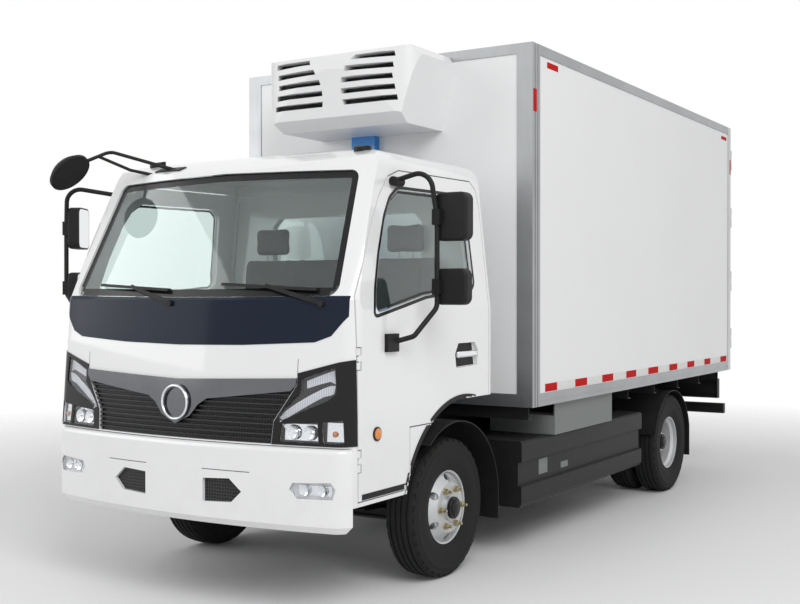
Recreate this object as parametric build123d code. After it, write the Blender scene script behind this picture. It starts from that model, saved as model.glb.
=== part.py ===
from build123d import *
import math
import os

# A two-axle light truck with a tilting cab and an insulated, cooled cargo box.
# Millimetres. x points to the truck's left, y to its rear, z up from the ground.
# Stations along y are measured from the front axle. The last step moves the whole
# truck so that the origin lies under the middle of its length.

# Overall sizes
LENGTH = 5995
FRONT_OVERHANG = 1220
WHEELBASE = 3300
REAR_END = LENGTH - FRONT_OVERHANG
CENTRE_SHIFT = FRONT_OVERHANG - LENGTH / 2

# Cargo box
BOX_HALF_W = 1100
BOX_FRONT_Y = 655
BOX_Z0 = 895
BOX_Z1 = 3090
WALL = 80
DECK_T = 5
DECK_EDGE = 4
SKIN_SET_IN = 6
POST = 105
TOP_RAIL = 62
BOTTOM_RAIL = 78
LOCK_PROUD = 35
DOOR_T = 80
BOX_REAR_Y = REAR_END - LOCK_PROUD
DOOR_SEAM = 8
REAR_POST = 74
SILL_H = 90
HEADER_H = 84

# Frame and running gear
TYRE_R = 388
TYRE_W = 196
RIM_R = 219
RIM_SEAT_R = 203
RIM_W = 152
FRONT_TYRE_X = 816
REAR_OUTER_X = 943
TWIN_PITCH = 232
RAIL_X = 420
RAIL_H = 180
RAIL_W = 62
RAIL_T = 7
RAIL_Z0 = 560
RAIL_Z1 = RAIL_Z0 + RAIL_H
RAIL_FRONT_Y = -1040
RAIL_REAR_Y = REAR_END - 140
KINGPIN_X = 690
KINGPIN_R = 15
EYE_Z0 = 350
EYE_Z1 = 426
EYE_R = 32
ARM_LENGTH = 165
SPINDLE_R = 30
HUB_R = 72
FIT = 0.05
SEAT_GAP = 0.3
AXLE_TOP_Z = 348
AXLE_DEPTH = 65
REAR_PAD_Z = 458
FRONT_FACE_X = 911
REAR_FACE_X = REAR_OUTER_X - TWIN_PITCH / 2
REAR_DRUM_X = 640
HAND_HOLE_R = 162
HAND_HOLES = 6
SPRING_X = 448
SPRING_W = 50
LEAF_T = 11
LEAVES = 4
BEARER_H = 75
PIVOT_Y = -1000
PIVOT_Z = 650
PIVOT_R = 22

# Cab
CAB_HALF_W = 1000
CAB_REAR_Y = 310
CAB_SKIN = 50
COWL_Y = -1150
COWL_Z = 1548
SCREEN_RAKE = math.tan(math.radians(25.5))
FRONT_LEAN = 0.075
CAB_BOW_R = 4450
CAB_CORNER_R = 92
TUMBLE_Z = 1500
EAVE_X = 918
EAVE_Z = 2225
ROOF_EDGE_X = 800
ROOF_EDGE_Z = 2318
ROOF_Z = 2362
FLOOR_Z = 780
CAB_BOTTOM_Z = 560
ARCH_R = 612
STEP_X = 560
SEAM = 6
DOOR_FRONT_Y = -1014
FACE_END_Y = DOOR_FRONT_Y - SEAM - 4
GLASS_SET_IN = 14
GLASS_T = 5

# Front bumper
BUMPER_Z0 = 435
BUMPER_Z1 = 842
BUMPER_REAR_Y = -1052
BUMPER_WALL = 40
BUMPER_TOP_R = 26

# Chassis fittings
CROSS_STATIONS = (-905, 430, 1150, 1900, 2620, 3640, 4400)
CROSS_Z0 = RAIL_Z0 + 75
BATTERY_Y0 = 640
BATTERY_Y1 = 2650
BATTERY_Z0 = 290
BATTERY_Z1 = 690
BATTERY_X = 1036
POWER_Y0 = -240
POWER_Y1 = 330
POWER_HALF_W = 300
SHAFT_Z = 560
AXLE_NOSE = 260
BEARERS = 8
BEARER_X = 1052
BEARER_Y0 = 700
BEARER_Y1 = 4505
GUARD_R = 480
GUARD_X0 = 566
GUARD_X1 = 962
REAR_GUARD_R = 415
REAR_GUARD_X0 = 592
REAR_GUARD_X1 = 1056
REAR_GUARD_END = 14
BUMPER_BAR_Z = 500
BUMPER_BAR_X = 1060
BRACKET_Y0 = 4500
BRACKET_Y1 = 4560
BRACKET_Z0 = 650
TAIL_LAMPS = ((520, 640), (670, 790), (820, 1020))

# Cooling unit
COOL_HALF_W = 560
COOL_FRONT_Y = 100
COOL_BOW_R = 1750
COOL_Z0 = 2600
COOL_Z1 = 3055
COOL_SLOT_H = 32
# Each louvre slot: its lower edge, its inner and outer ends, and the slant of the inner end
COOL_SLOTS = (
    (2985, 150, 440, 20),
    (2920, 105, 430, 14),
    (2855, 75, 425, 8),
    (2790, 70, 440, 0),
    (2725, 80, 455, -8),
)

# Door hinges and locks
CAB_PIN_X = 995
CAB_PIN_Y = -998
CAB_PIN_R = 5
CAB_HINGE_Z = (760, 1250)
CAB_HINGE_H = 34
REAR_BARREL_R = 8
REAR_PIN_X = BOX_HALF_W - REAR_BARREL_R
REAR_PIN_Y = BOX_REAR_Y + 26
REAR_HINGE_Z = (1180, 1700, 2280, 2800)
REAR_HINGE_H = 60
REAR_FRAME_SET_IN = 6
DOOR_MEET = 9
LOCK_X = 250
LOCK_R = 11
LOCK_GUIDES = (1150, 2000, 2850)
LOCK_HANDLE_Z = 1560

# Inside the cab
CAB_ARM_X = 320
HANDLE_DEPTH = 22
WHEEL_X = 360
WHEEL_Y = -690
WHEEL_Z = 1500
WHEEL_TILT = 35
DASH_X = 895
SEAT_Z = 1130
# Each seat as its middle, its half width and its head rest's middle
SEATS = ((480, 245, 480), (-310, 440, -520))

# Mirrors
# The left door's mirrors, and the right door's, which stand further out and turn to the driver
LEFT_MIRRORS = {"x": 1158, "y": -550, "foot_y": -720, "foot_z": 1330, "turn": 0}
RIGHT_MIRRORS = {"x": 1225, "y": -838, "foot_y": -890, "foot_z": 1400, "turn": 60}
MIRROR_W = 190
MIRROR_OVERLAP = 28
DISH_X = -1000
DISH_Y = -1000
DISH_Z = 2262
DISH_R = 125


def block(x0, x1, y0, y1, z0, z1):
    """A square-edged block between two corners."""
    centre = Pos((x0 + x1) / 2, (y0 + y1) / 2, (z0 + z1) / 2)
    return centre * Box(x1 - x0, y1 - y0, z1 - z0)


def rod_x(x0, x1, y, z, r):
    """A round bar along x."""
    return Pos((x0 + x1) / 2, y, z) * Rot(0, 90, 0) * Cylinder(r, x1 - x0)


def rod_y(x, y0, y1, z, r):
    """A round bar along y."""
    return Pos(x, (y0 + y1) / 2, z) * Rot(90, 0, 0) * Cylinder(r, y1 - y0)


def rod_z(x, y, z0, z1, r):
    """An upright round bar."""
    return Pos(x, y, (z0 + z1) / 2) * Cylinder(r, z1 - z0)


def side_prism(points, x0, x1):
    """An outline of (y, z) points, extruded across the truck."""
    face = Plane.YZ.offset(x0) * make_face(Polyline(*points, close=True))
    return extrude(face, amount=x1 - x0)


def front_plane(y):
    """An upright plane across the truck, with sketch axes x and z."""
    return Plane(origin=(0, y, 0), x_dir=(1, 0, 0), z_dir=(0, -1, 0))


def front_prism(points, y0, y1):
    """An outline of (x, z) points, extruded along the truck."""
    face = front_plane(y0) * make_face(Polyline(*points, close=True))
    return extrude(face, amount=y1 - y0, dir=(0, 1, 0))


def other_side(shape):
    """The same piece on the truck's right."""
    return mirror(shape, about=Plane.YZ)


def both_sides(shape):
    """A left piece with its right-hand twin, as separate solids."""
    return Compound(children=list(shape.solids()) + list(other_side(shape).solids()))


def fuse_all(pieces):
    """One solid from pieces that meet."""
    first = pieces[0]
    for piece in pieces[1:]:
        first = first + piece
    return first


def group(pieces):
    """Several separate solids in one node."""
    solids = []
    for piece in pieces:
        solids += list(piece.solids())
    return Compound(children=solids)


def tube_path(points, radii, r):
    """A round tube along straight runs joined by arcs."""
    path = FilletPolyline(*points, radius=radii)
    start = Plane(origin=path @ 0, z_dir=path % 0)
    return sweep(start * Circle(r), path=path)


# The cab's outer form, which its walls, glass and panels all share

def bow_face(front_y, half, corner_r, bow_r, rear_y, z):
    """A plan outline: bowed front, round front corners, straight sides."""
    edge_x = (half - corner_r) / (1 - corner_r / bow_r)
    edge_y = front_y + bow_r - math.sqrt(bow_r**2 - edge_x**2)
    side_y = edge_y + corner_r * math.sqrt(1 - (edge_x / bow_r) ** 2)
    turn = math.asin(edge_x / bow_r)
    middle = (turn - math.pi / 2) / 2
    mid_x = half - corner_r + corner_r * math.cos(middle)
    mid_y = side_y + corner_r * math.sin(middle)
    outline = [
        ThreePointArc((-edge_x, edge_y), (0, front_y), (edge_x, edge_y)),
        ThreePointArc((edge_x, edge_y), (mid_x, mid_y), (half, side_y)),
        Polyline((half, side_y), (half, rear_y), (-half, rear_y), (-half, side_y)),
        ThreePointArc((-half, side_y), (-mid_x, mid_y), (-edge_x, edge_y)),
    ]
    return Plane.XY.offset(z) * make_face(outline)


def cab_form(inset):
    """The whole cab's outer form, drawn in by the same amount all round."""
    half = CAB_HALF_W - inset
    plan = bow_face(
        COWL_Y + inset, half, CAB_CORNER_R - inset, CAB_BOW_R - inset, CAB_REAR_Y + 900, COWL_Z
    )
    down = COWL_Z - CAB_BOTTOM_Z + 40
    up = ROOF_Z - COWL_Z + 60
    lower = extrude(plan, amount=down * math.hypot(1, FRONT_LEAN), dir=(0, -FRONT_LEAN, -1))
    upper = extrude(plan, amount=up * math.hypot(1, SCREEN_RAKE), dir=(0, SCREEN_RAKE, 1))
    body = lower + upper
    across = [
        Polyline((-half, CAB_BOTTOM_Z), (half, CAB_BOTTOM_Z), (half, TUMBLE_Z), (EAVE_X - inset, EAVE_Z)),
        ThreePointArc(
            (EAVE_X - inset, EAVE_Z),
            (EAVE_X - 32 - inset * 0.85, ROOF_EDGE_Z - 28 - inset * 0.5),
            (ROOF_EDGE_X, ROOF_EDGE_Z - inset),
        ),
        ThreePointArc(
            (ROOF_EDGE_X, ROOF_EDGE_Z - inset), (0, ROOF_Z - inset), (-ROOF_EDGE_X, ROOF_EDGE_Z - inset)
        ),
        ThreePointArc(
            (-ROOF_EDGE_X, ROOF_EDGE_Z - inset),
            (-EAVE_X + 32 + inset * 0.85, ROOF_EDGE_Z - 28 - inset * 0.5),
            (-EAVE_X + inset, EAVE_Z),
        ),
        Polyline((-EAVE_X + inset, EAVE_Z), (-half, TUMBLE_Z), (-half, CAB_BOTTOM_Z)),
    ]
    front_view = extrude(
        front_plane(-1500) * make_face(across), amount=1500 + CAB_REAR_Y + 100, dir=(0, 1, 0)
    )
    rear = CAB_REAR_Y - inset
    along = [
        Polyline((-1500, CAB_BOTTOM_Z), (-1500, 1900), (-960, 2140 - inset)),
        ThreePointArc((-960, 2140 - inset), (-620, 2318 - inset), (-200, ROOF_Z + 4 - inset)),
        Polyline((-200, ROOF_Z + 4 - inset), (rear - 110, ROOF_Z - 26 - inset)),
        ThreePointArc(
            (rear - 110, ROOF_Z - 26 - inset), (rear - 34, ROOF_Z - 60 - inset), (rear, ROOF_Z - 150)
        ),
        Polyline((rear, ROOF_Z - 150), (rear, CAB_BOTTOM_Z), (-1500, CAB_BOTTOM_Z)),
    ]
    side_view = extrude(Plane.YZ.offset(-1100) * make_face(along), amount=2200)
    return body & front_view & side_view


def underside(grow):
    """What is cut from below the cab: wheel arches, frame tunnel and bumper space."""
    arch = rod_x(-1200, 1200, 0, TYRE_R, ARCH_R + grow)
    behind = block(-1200, 1200, 0, CAB_REAR_Y + 100, 0, TYRE_R + ARCH_R + grow)
    tunnel = block(-STEP_X - grow, STEP_X + grow, -1500, CAB_REAR_Y + 100, 0, FLOOR_Z + grow)
    nose = block(-1200, 1200, -1500, BUMPER_REAR_Y + grow, 0, BUMPER_Z1 + 4 + grow)
    return arch + behind + tunnel + nose


# Outlines on the cab's side, as (y, z)
DOOR_OUTLINE = [
    (DOOR_FRONT_Y, 585),
    (DOOR_FRONT_Y, 1560),
    (-930, 1739),
    (-842, 1912),
    (-742, 2068),
    (-645, 2172),
    (-540, 2210),
    (204, 2218),
    (262, 2176),
    (284, 2065),
    (286, 1031),
    (286, 900),
    (-560, 900),
    (-560, 630),
    (-610, 585),
]
SIDE_GLASS_OUTLINE = [
    (-868, 1478),
    (-846, 1600),
    (-790, 1770),
    (-705, 1965),
    (-640, 2060),
    (-560, 2112),
    (60, 2120),
    (112, 2080),
    (128, 1640),
    (100, 1612),
    (-387, 1572),
]
# Where the doors part from the front and rear walls, as (x, z)
DOOR_ZONE = [(915, 400), (915, 1500), (842, 2240), (1300, 2240), (1300, 400)]
# Outlines on the cab's front, as (x, z)
SCREEN_OUTLINE = [
    (-905, 1566),
    (-832, 2204),
    (0, 2220),
    (832, 2204),
    (905, 1566),
    (0, 1558),
]
SCREEN_CORNER_R = 55
WINDOW_CORNER_R = 34
REAR_GLASS_OUTLINE = [
    (-560, 1790),
    (-560, 2010),
    (-510, 2060),
    (510, 2060),
    (560, 2010),
    (560, 1790),
    (510, 1740),
    (-510, 1740),
]
COWL_OUTLINE = [
    (-965, 1568),
    (-965, 1470),
    (-885, 1376),
    (-800, 1345),
    (-400, 1326),
    (0, 1320),
    (400, 1326),
    (800, 1345),
    (885, 1376),
    (965, 1470),
    (965, 1568),
]
GRILLE_OUTLINE = [
    (-590, 852),
    (-598, 962),
    (-716, 1140),
    (-716, 1172),
    (0, 1148),
    (716, 1172),
    (716, 1140),
    (598, 962),
    (590, 852),
]
GRILLE_PITCH = 24
GRILLE_BLADE = 8
WING_OUTLINE = [
    (-716, 1172),
    (-716, 1140),
    (-688, 1110),
    (-200, 1056),
    (-146, 1024),
    (-96, 966),
    (0, 922),
    (96, 966),
    (146, 1024),
    (200, 1056),
    (688, 1110),
    (716, 1140),
    (716, 1172),
    (0, 1148),
]
EMBLEM_Z = 1030
EMBLEM_R = 94
LAMP_OUTLINE = [
    (594, 852),
    (602, 961),
    (720, 1139),
    (720, 1196),
    (931, 1252),
    (1100, 1282),
    (1100, 852),
]
# The upper lens with its lamp strip, the main lens and the corner indicator
LENS_OUTLINES = [
    [(640, 966), (886, 1070), (926, 1102), (914, 1228), (738, 1168), (734, 1100), (650, 1014), (616, 970)],
    [(640, 866), (642, 950), (836, 964), (846, 866)],
    [(868, 866), (860, 966), (962, 978), (970, 866)],
]
FOG_OUTLINE = [(700, 640), (716, 674), (918, 684), (940, 652), (926, 604), (736, 600)]
VENT_OUTLINE = [(196, 548), (196, 664), (360, 672), (432, 612), (372, 556)]
WIPER_PIVOTS = (-80, 830)


def grow_outline(points, gap):
    """The outline drawn out (or in) by a small even gap."""
    wire = Wire(Polyline(*points, close=True).edges())
    return offset(wire, amount=gap, kind=Kind.INTERSECTION)


def side_cutter(points, gap, x0, x1):
    """A side outline, drawn out by a gap and extruded across the truck."""
    face = Plane.YZ.offset(x0) * make_face(grow_outline(points, gap))
    return extrude(face, amount=x1 - x0)


def front_cutter(points, gap, y0, y1):
    """A front outline, drawn out by a gap and extruded along the truck."""
    face = front_plane(y0) * make_face(grow_outline(points, gap))
    return extrude(face, amount=y1 - y0, dir=(0, 1, 0))


def cab_band(outer_inset, inner_inset, cutter):
    """The part of the cab's skin between two depths, inside a cutter."""
    return (cab_form(outer_inset) - cab_form(inner_inset)) & cutter


def screen_cutter():
    """The windscreen's outline with its round corners, extruded along the truck."""
    face = front_plane(NOSE_Y0) * make_face(Polyline(*SCREEN_OUTLINE, close=True))
    face = fillet(face.vertices(), SCREEN_CORNER_R)
    return extrude(face, amount=NOSE_Y1 - NOSE_Y0, dir=(0, 1, 0))


def rear_glass_cutter():
    face = front_plane(CAB_REAR_Y - 200) * make_face(Polyline(*REAR_GLASS_OUTLINE, close=True))
    face = fillet(face.vertices(), WINDOW_CORNER_R)
    return extrude(face, amount=300, dir=(0, 1, 0))


def side_glass_cutter():
    face = Plane.YZ.offset(700) * make_face(Polyline(*SIDE_GLASS_OUTLINE, close=True))
    return extrude(fillet(face.vertices(), WINDOW_CORNER_R), amount=500)


CAB_OUTER = cab_form(0)
CAB_INNER = cab_form(CAB_SKIN)
GLASS_OUTER = cab_form(GLASS_SET_IN)
GLASS_INNER = cab_form(GLASS_SET_IN + GLASS_T)
NOSE_Y0 = -1500
NOSE_Y1 = -700
PANEL_DEPTH = 30


def make_cab_full():
    """The cab as one hollow form, before doors and windows are cut."""
    outer = CAB_OUTER - underside(0)
    inner = CAB_INNER - underside(CAB_SKIN)
    inner = inner - block(-1200, 1200, -1500, CAB_REAR_Y, 0, FLOOR_Z + CAB_SKIN)
    return outer - inner


def hinge_notch(z0, z1):
    """The clear space round one fixed knuckle of a cab door's hinge."""
    return block(CAB_PIN_X - 12, CAB_PIN_X + 12, DOOR_FRONT_Y - SEAM, CAB_PIN_Y + 12, z0, z1)


def hinge_levels():
    """The z levels of the fixed knuckles, under and over each moving one."""
    levels = []
    for z in CAB_HINGE_Z:
        levels.append((z - CAB_HINGE_H, z - SEAT_GAP))
        levels.append((z + CAB_HINGE_H + SEAT_GAP, z + 2 * CAB_HINGE_H))
    return levels


def make_shell_side(shell):
    """The left door opening, step well, lamp pocket, cab arm and fixed hinge knuckles."""
    zone = front_cutter(DOOR_ZONE, SEAM + 3, -1400, 500)
    shell = shell - (side_cutter(DOOR_OUTLINE, SEAM, 700, 1200) & zone)
    shell = shell - block(720, 1200, -1000, -560, 620, FLOOR_Z - 30)
    shell = shell - cab_band(-3, PANEL_DEPTH, front_cutter(LAMP_OUTLINE, 0, NOSE_Y0, FACE_END_Y))
    arm = side_prism(
        [(PIVOT_Y - 60, FLOOR_Z + 20), (PIVOT_Y + 60, FLOOR_Z + 20), (PIVOT_Y + 40, PIVOT_Z),
         (PIVOT_Y - 40, PIVOT_Z)],
        CAB_ARM_X - 20, CAB_ARM_X + 20,
    )
    shell = shell + arm + rod_x(CAB_ARM_X - 20, CAB_ARM_X + 20, PIVOT_Y, PIVOT_Z, 40)
    edge = DOOR_FRONT_Y - SEAM
    for z0, z1 in hinge_levels():
        knuckle = rod_z(CAB_PIN_X, CAB_PIN_Y, z0, z1, CAB_PIN_R)
        knuckle = knuckle + block(CAB_PIN_X - CAB_PIN_R, CAB_PIN_X + CAB_PIN_R, FACE_END_Y, CAB_PIN_Y, z0, z1)
        shell = shell + knuckle + block(CAB_PIN_X - 25, CAB_PIN_X, FACE_END_Y, edge, z0, z1)
    return shell


def make_cab_shell(full):
    shell = make_shell_side(full)
    shell = other_side(make_shell_side(other_side(shell)))
    shell = shell - screen_cutter() - rear_glass_cutter()
    for outline in (COWL_OUTLINE, GRILLE_OUTLINE):
        shell = shell - cab_band(-3, PANEL_DEPTH, front_cutter(outline, 0, NOSE_Y0, FACE_END_Y))
    return shell - rod_x(-500, 500, PIVOT_Y, PIVOT_Z, PIVOT_R + FIT)


def make_door(full):
    """The left door: a full-depth section of the cab's side with its window cut."""
    door = full & side_cutter(DOOR_OUTLINE, 0, 700, 1200)
    door = door & front_prism(DOOR_ZONE, -1400, 500)
    door = door - side_glass_cutter()
    door = max(door.solids(), key=lambda solid: solid.volume)
    handle = [(-84, 1172), (-96, 1250), (-60, 1308), (120, 1308), (164, 1262), (150, 1180)]
    door = door - (side_prism(handle, 900, 1100) - cab_form(HANDLE_DEPTH))
    for z0, z1 in hinge_levels():
        door = door - hinge_notch(z0 - 6, z1 + 6)
    for z in CAB_HINGE_Z:
        door = door + rod_z(CAB_PIN_X, CAB_PIN_Y, z, z + CAB_HINGE_H, CAB_PIN_R)
        door = door + block(CAB_PIN_X - 16, CAB_PIN_X, CAB_PIN_Y - CAB_PIN_R, CAB_PIN_Y + 16, z, z + CAB_HINGE_H)
    return door


# Shared shapes for running gear

def arc_strip(y, z, r_in, r_out, start, end, x0, x1):
    """A curved plate: part of a ring about an axis along x. Angle 0 is rearward, 90 is up."""
    def on_ring(r, angle):
        turn = math.radians(angle)
        return (y + r * math.cos(turn), z + r * math.sin(turn))

    middle = (start + end) / 2
    edges = [
        ThreePointArc(on_ring(r_in, start), on_ring(r_in, middle), on_ring(r_in, end)),
        Line(on_ring(r_in, end), on_ring(r_out, end)),
        ThreePointArc(on_ring(r_out, end), on_ring(r_out, middle), on_ring(r_out, start)),
        Line(on_ring(r_out, start), on_ring(r_in, start)),
    ]
    return extrude(Plane.YZ.offset(x0) * make_face(edges), amount=x1 - x0)


def turned(points, y, z):
    """An outline of (x, radius) points turned about an axis along x."""
    face = Plane.XY * make_face(Polyline(*points, close=True))
    return Pos(0, y, z) * revolve(face, axis=Axis.X)


def make_ladder_frame():
    inner = RAIL_X - RAIL_T
    rail = block(RAIL_X - RAIL_W, RAIL_X, RAIL_FRONT_Y, RAIL_REAR_Y, RAIL_Z0, RAIL_Z1)
    rail = rail - block(
        RAIL_X - RAIL_W - 1, inner, RAIL_FRONT_Y - 1, RAIL_REAR_Y + 1, RAIL_Z0 + RAIL_T, RAIL_Z1 - RAIL_T
    )
    pieces = [rail, other_side(rail)]
    for y in CROSS_STATIONS:
        pieces.append(block(-inner - 1, inner + 1, y, y + 70, CROSS_Z0, RAIL_Z1 - 20))
    pieces.append(rod_x(-RAIL_X - 45, RAIL_X + 45, PIVOT_Y, PIVOT_Z, PIVOT_R))
    # The hoop behind the cab, with a rubber rest on each side
    hoop_y = CAB_REAR_Y - 110
    rest_z = TYRE_R + ARCH_R - SEAT_GAP
    for sign in (1, -1):
        x0, x1 = sorted((sign * (RAIL_X - RAIL_W), sign * RAIL_X))
        pieces.append(block(x0, x1, hoop_y, hoop_y + 70, RAIL_Z1 - 1, rest_z - 30))
        pieces.append(rod_z(sign * (RAIL_X - RAIL_W / 2), hoop_y + 35, rest_z - 31, rest_z, 30))
    pieces.append(block(-RAIL_X, RAIL_X, hoop_y, hoop_y + 70, rest_z - 70, rest_z - 30))
    return fuse_all(pieces)


def make_body_bearers():
    low = RAIL_Z1 + BEARER_H
    floor = BOX_Z0 + SKIN_SET_IN
    pieces = []
    for sign in (1, -1):
        x0, x1 = sorted((sign * (RAIL_X - RAIL_W), sign * RAIL_X))
        pieces.append(block(x0, x1, BEARER_Y0 - 30, RAIL_REAR_Y, RAIL_Z1, low + 1))
    for index in range(BEARERS):
        y = BEARER_Y0 + (BEARER_Y1 - BEARER_Y0) * index / (BEARERS - 1)
        bar = block(-BEARER_X, BEARER_X, y, y + 50, low, floor)
        pieces.append(bar - block(-BEARER_X - 1, BEARER_X + 1, y + 6, y + 51, low + 7, floor - 7))
    return fuse_all(pieces)


def make_front_axle():
    k = KINGPIN_X
    low = AXLE_TOP_Z - AXLE_DEPTH
    outline = [
        (-k, 420), (90 - k, 420), (170 - k, AXLE_TOP_Z), (k - 170, AXLE_TOP_Z), (k - 90, 420), (k, 420),
        (k, 356), (k - 72, 356), (k - 150, low), (150 - k, low), (72 - k, 356), (-k, 356),
    ]
    beam = front_prism(outline, -EYE_R, EYE_R)
    web = [(200 - k, AXLE_TOP_Z - 14), (k - 200, AXLE_TOP_Z - 14), (k - 170, low + 14), (170 - k, low + 14)]
    beam = beam - front_prism(web, -EYE_R - 1, -8) - front_prism(web, 8, EYE_R + 1)
    for sign in (1, -1):
        beam = beam + rod_z(sign * k, 0, EYE_Z0, EYE_Z1, EYE_R)
    for sign in (1, -1):
        beam = beam - rod_z(sign * k, 0, EYE_Z0 - 5, EYE_Z1 + 5, KINGPIN_R + FIT)
    return beam


def make_knuckle():
    """The left stub axle: yoke, kingpin, spindle and steering arm."""
    x1 = KINGPIN_X + 58
    pieces = [
        rod_z(KINGPIN_X, 0, EYE_Z0 - 34, EYE_Z0 - SEAT_GAP, EYE_R),
        rod_z(KINGPIN_X, 0, EYE_Z1 + 4, EYE_Z1 + 34, EYE_R),
        block(KINGPIN_X, x1, -EYE_R, EYE_R, EYE_Z0 - 34, EYE_Z0 - SEAT_GAP),
        block(KINGPIN_X, x1, -EYE_R, EYE_R, EYE_Z1 + 4, EYE_Z1 + 34),
        block(KINGPIN_X + 38, x1, -EYE_R, EYE_R, EYE_Z0 - 34, EYE_Z1 + 34),
        rod_z(KINGPIN_X, 0, EYE_Z0 - 34, EYE_Z1 + 34, KINGPIN_R),
        rod_x(x1 - 1, FRONT_FACE_X - 8, 0, TYRE_R, SPINDLE_R),
        block(KINGPIN_X - 16, KINGPIN_X + 16, 0, ARM_LENGTH, EYE_Z0 - 34, EYE_Z0 - 12),
        rod_z(KINGPIN_X, ARM_LENGTH, EYE_Z0 - 34, EYE_Z0 - 12, 18),
    ]
    return fuse_all(pieces)


def make_tie_rod():
    top = EYE_Z0 - 34 - SEAT_GAP
    bar = rod_x(-KINGPIN_X, KINGPIN_X, ARM_LENGTH, top - 14, 12)
    for sign in (1, -1):
        bar = bar + rod_z(sign * KINGPIN_X, ARM_LENGTH, top - 28, top, 17)
    return bar


def make_springs(axle_y, bottom_z, half_length, rise):
    """One left spring pack with its two hangers on the frame's side."""
    r = (half_length**2 + rise**2) / (2 * rise)
    centre_z = bottom_z + LEAVES * LEAF_T + r
    x0 = SPRING_X - SPRING_W / 2
    x1 = SPRING_X + SPRING_W / 2
    pieces = []
    for leaf in range(LEAVES):
        share = 1 - leaf / (LEAVES + 0.5)
        half_turn = math.degrees(math.asin(half_length * share / r))
        inner = r + leaf * LEAF_T - 0.5
        pieces.append(
            arc_strip(axle_y, centre_z, inner, inner + LEAF_T + 0.5, 270 - half_turn, 270 + half_turn, x0, x1)
        )
    eye_z = centre_z - math.sqrt(r**2 - half_length**2) - LEAF_T / 2
    for y in (axle_y - half_length, axle_y + half_length):
        pieces.append(rod_x(x0, x1, y, eye_z, 22))
        pieces.append(
            side_prism(
                [(y - 38, RAIL_Z0 + 100), (y + 38, RAIL_Z0 + 100), (y + 26, eye_z - 6), (y - 26, eye_z - 6)],
                RAIL_X, x1,
            )
        )
    return fuse_all(pieces)


def make_rear_axle():
    y = WHEELBASE
    pieces = [
        rod_x(-REAR_DRUM_X + 12, REAR_DRUM_X - 12, y, TYRE_R, 56),
        rod_x(-REAR_FACE_X - 70, REAR_FACE_X + 70, y, TYRE_R, SPINDLE_R),
        turned([(-150, 0), (-150, 60), (-105, 132), (105, 132), (150, 60), (150, 0)], y, TYRE_R),
        rod_y(0, y - AXLE_NOSE, y - 60, TYRE_R + 10, 72),
    ]
    for sign in (1, -1):
        pieces.append(
            block(sign * SPRING_X - 30, sign * SPRING_X + 30, y - 60, y + 60, TYRE_R, REAR_PAD_Z)
        )
    return fuse_all(pieces)


def make_drive_shaft():
    start = POWER_Y1
    end = WHEELBASE - AXLE_NOSE
    pieces = [
        rod_y(0, start, start + 60, SHAFT_Z, 62),
        rod_y(0, end - 50, end, TYRE_R + 10, 62),
    ]
    run = Line((0, start + 30, SHAFT_Z), (0, end - 25, TYRE_R + 10))
    pieces.append(sweep(Plane(origin=run @ 0, z_dir=run % 0) * Circle(38), path=run))
    return fuse_all(pieces)


def make_power_unit():
    inner = RAIL_X - RAIL_T
    body = block(-POWER_HALF_W, POWER_HALF_W, POWER_Y0, POWER_Y1, SHAFT_Z - 90, 900)
    body = chamfer(body.edges().filter_by(Axis.Z), 25)
    for y in (POWER_Y0 + 60, POWER_Y1 - 100):
        body = body + block(-inner, inner, y, y + 50, RAIL_Z0 + 40, RAIL_Z0 + 90)
    return body


def make_battery_boxes():
    x = BATTERY_X
    z0 = BATTERY_Z0
    z1 = BATTERY_Z1
    outline = [
        (RAIL_X, z1), (x - 12, z1), (x, z1 - 12), (x, z1 - 124), (x - 26, z1 - 134), (x - 26, z1 - 266),
        (x - 2, z1 - 276), (x - 2, z0 + 22), (x - 20, z0), (RAIL_X + 40, z0), (RAIL_X, z0 + 60),
    ]
    return both_sides(front_prism(outline, BATTERY_Y0, BATTERY_Y1))


def make_service_box():
    y0 = BATTERY_Y0 + 410
    y1 = y0 + 940
    tray = block(600, BEARER_X + 4, y0, y1, BATTERY_Z1, RAIL_Z1 + BEARER_H - 6)
    plate = block(BEARER_X + 4, BEARER_X + 12, y0, y1, BATTERY_Z1, BOX_Z0 - 6)
    return both_sides(tray + plate)


def make_rim(centre_x, face_x):
    """A left disc wheel: the rolled rim with its pressed disc, turned in two outlines."""
    c = centre_x
    f = face_x
    half = RIM_W / 2
    seat = RIM_SEAT_R
    rim = turned(
        [
            (c - half, RIM_R), (c - half + 8, RIM_R), (c - half + 10, seat), (c - 44, seat - 2),
            (c - 26, seat - 22), (c + 26, seat - 22), (c + 44, seat - 2), (c + half - 10, seat),
            (c + half - 8, RIM_R), (c + half, RIM_R), (c + half - 6, seat - 8), (c + 48, seat - 11),
            (c + 30, seat - 31), (c - 30, seat - 31), (c - 48, seat - 11), (c - half + 6, seat - 8),
        ],
        0, 0,
    )
    disc = turned(
        [
            (f - 12, HUB_R - 12), (f, HUB_R - 12), (f, 138), (c + 52, seat - 11), (c + 38, seat - 15),
            (f - 12, 132),
        ],
        0, 0,
    )
    for index in range(HAND_HOLES):
        turn = math.radians(30 + 360 / HAND_HOLES * index)
        disc = disc - rod_x(f - 100, f + 20, HAND_HOLE_R * math.cos(turn), HAND_HOLE_R * math.sin(turn), 22)
    return rim + disc


def make_drum(inner_x, face_x):
    f = face_x
    return turned(
        [(f - 11, HUB_R - 12), (f - 11, 130), (f - 20, 150), (inner_x, 150), (inner_x, 138), (f - 30, 138),
         (f - 26, HUB_R - 12)],
        0, 0,
    )


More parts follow.
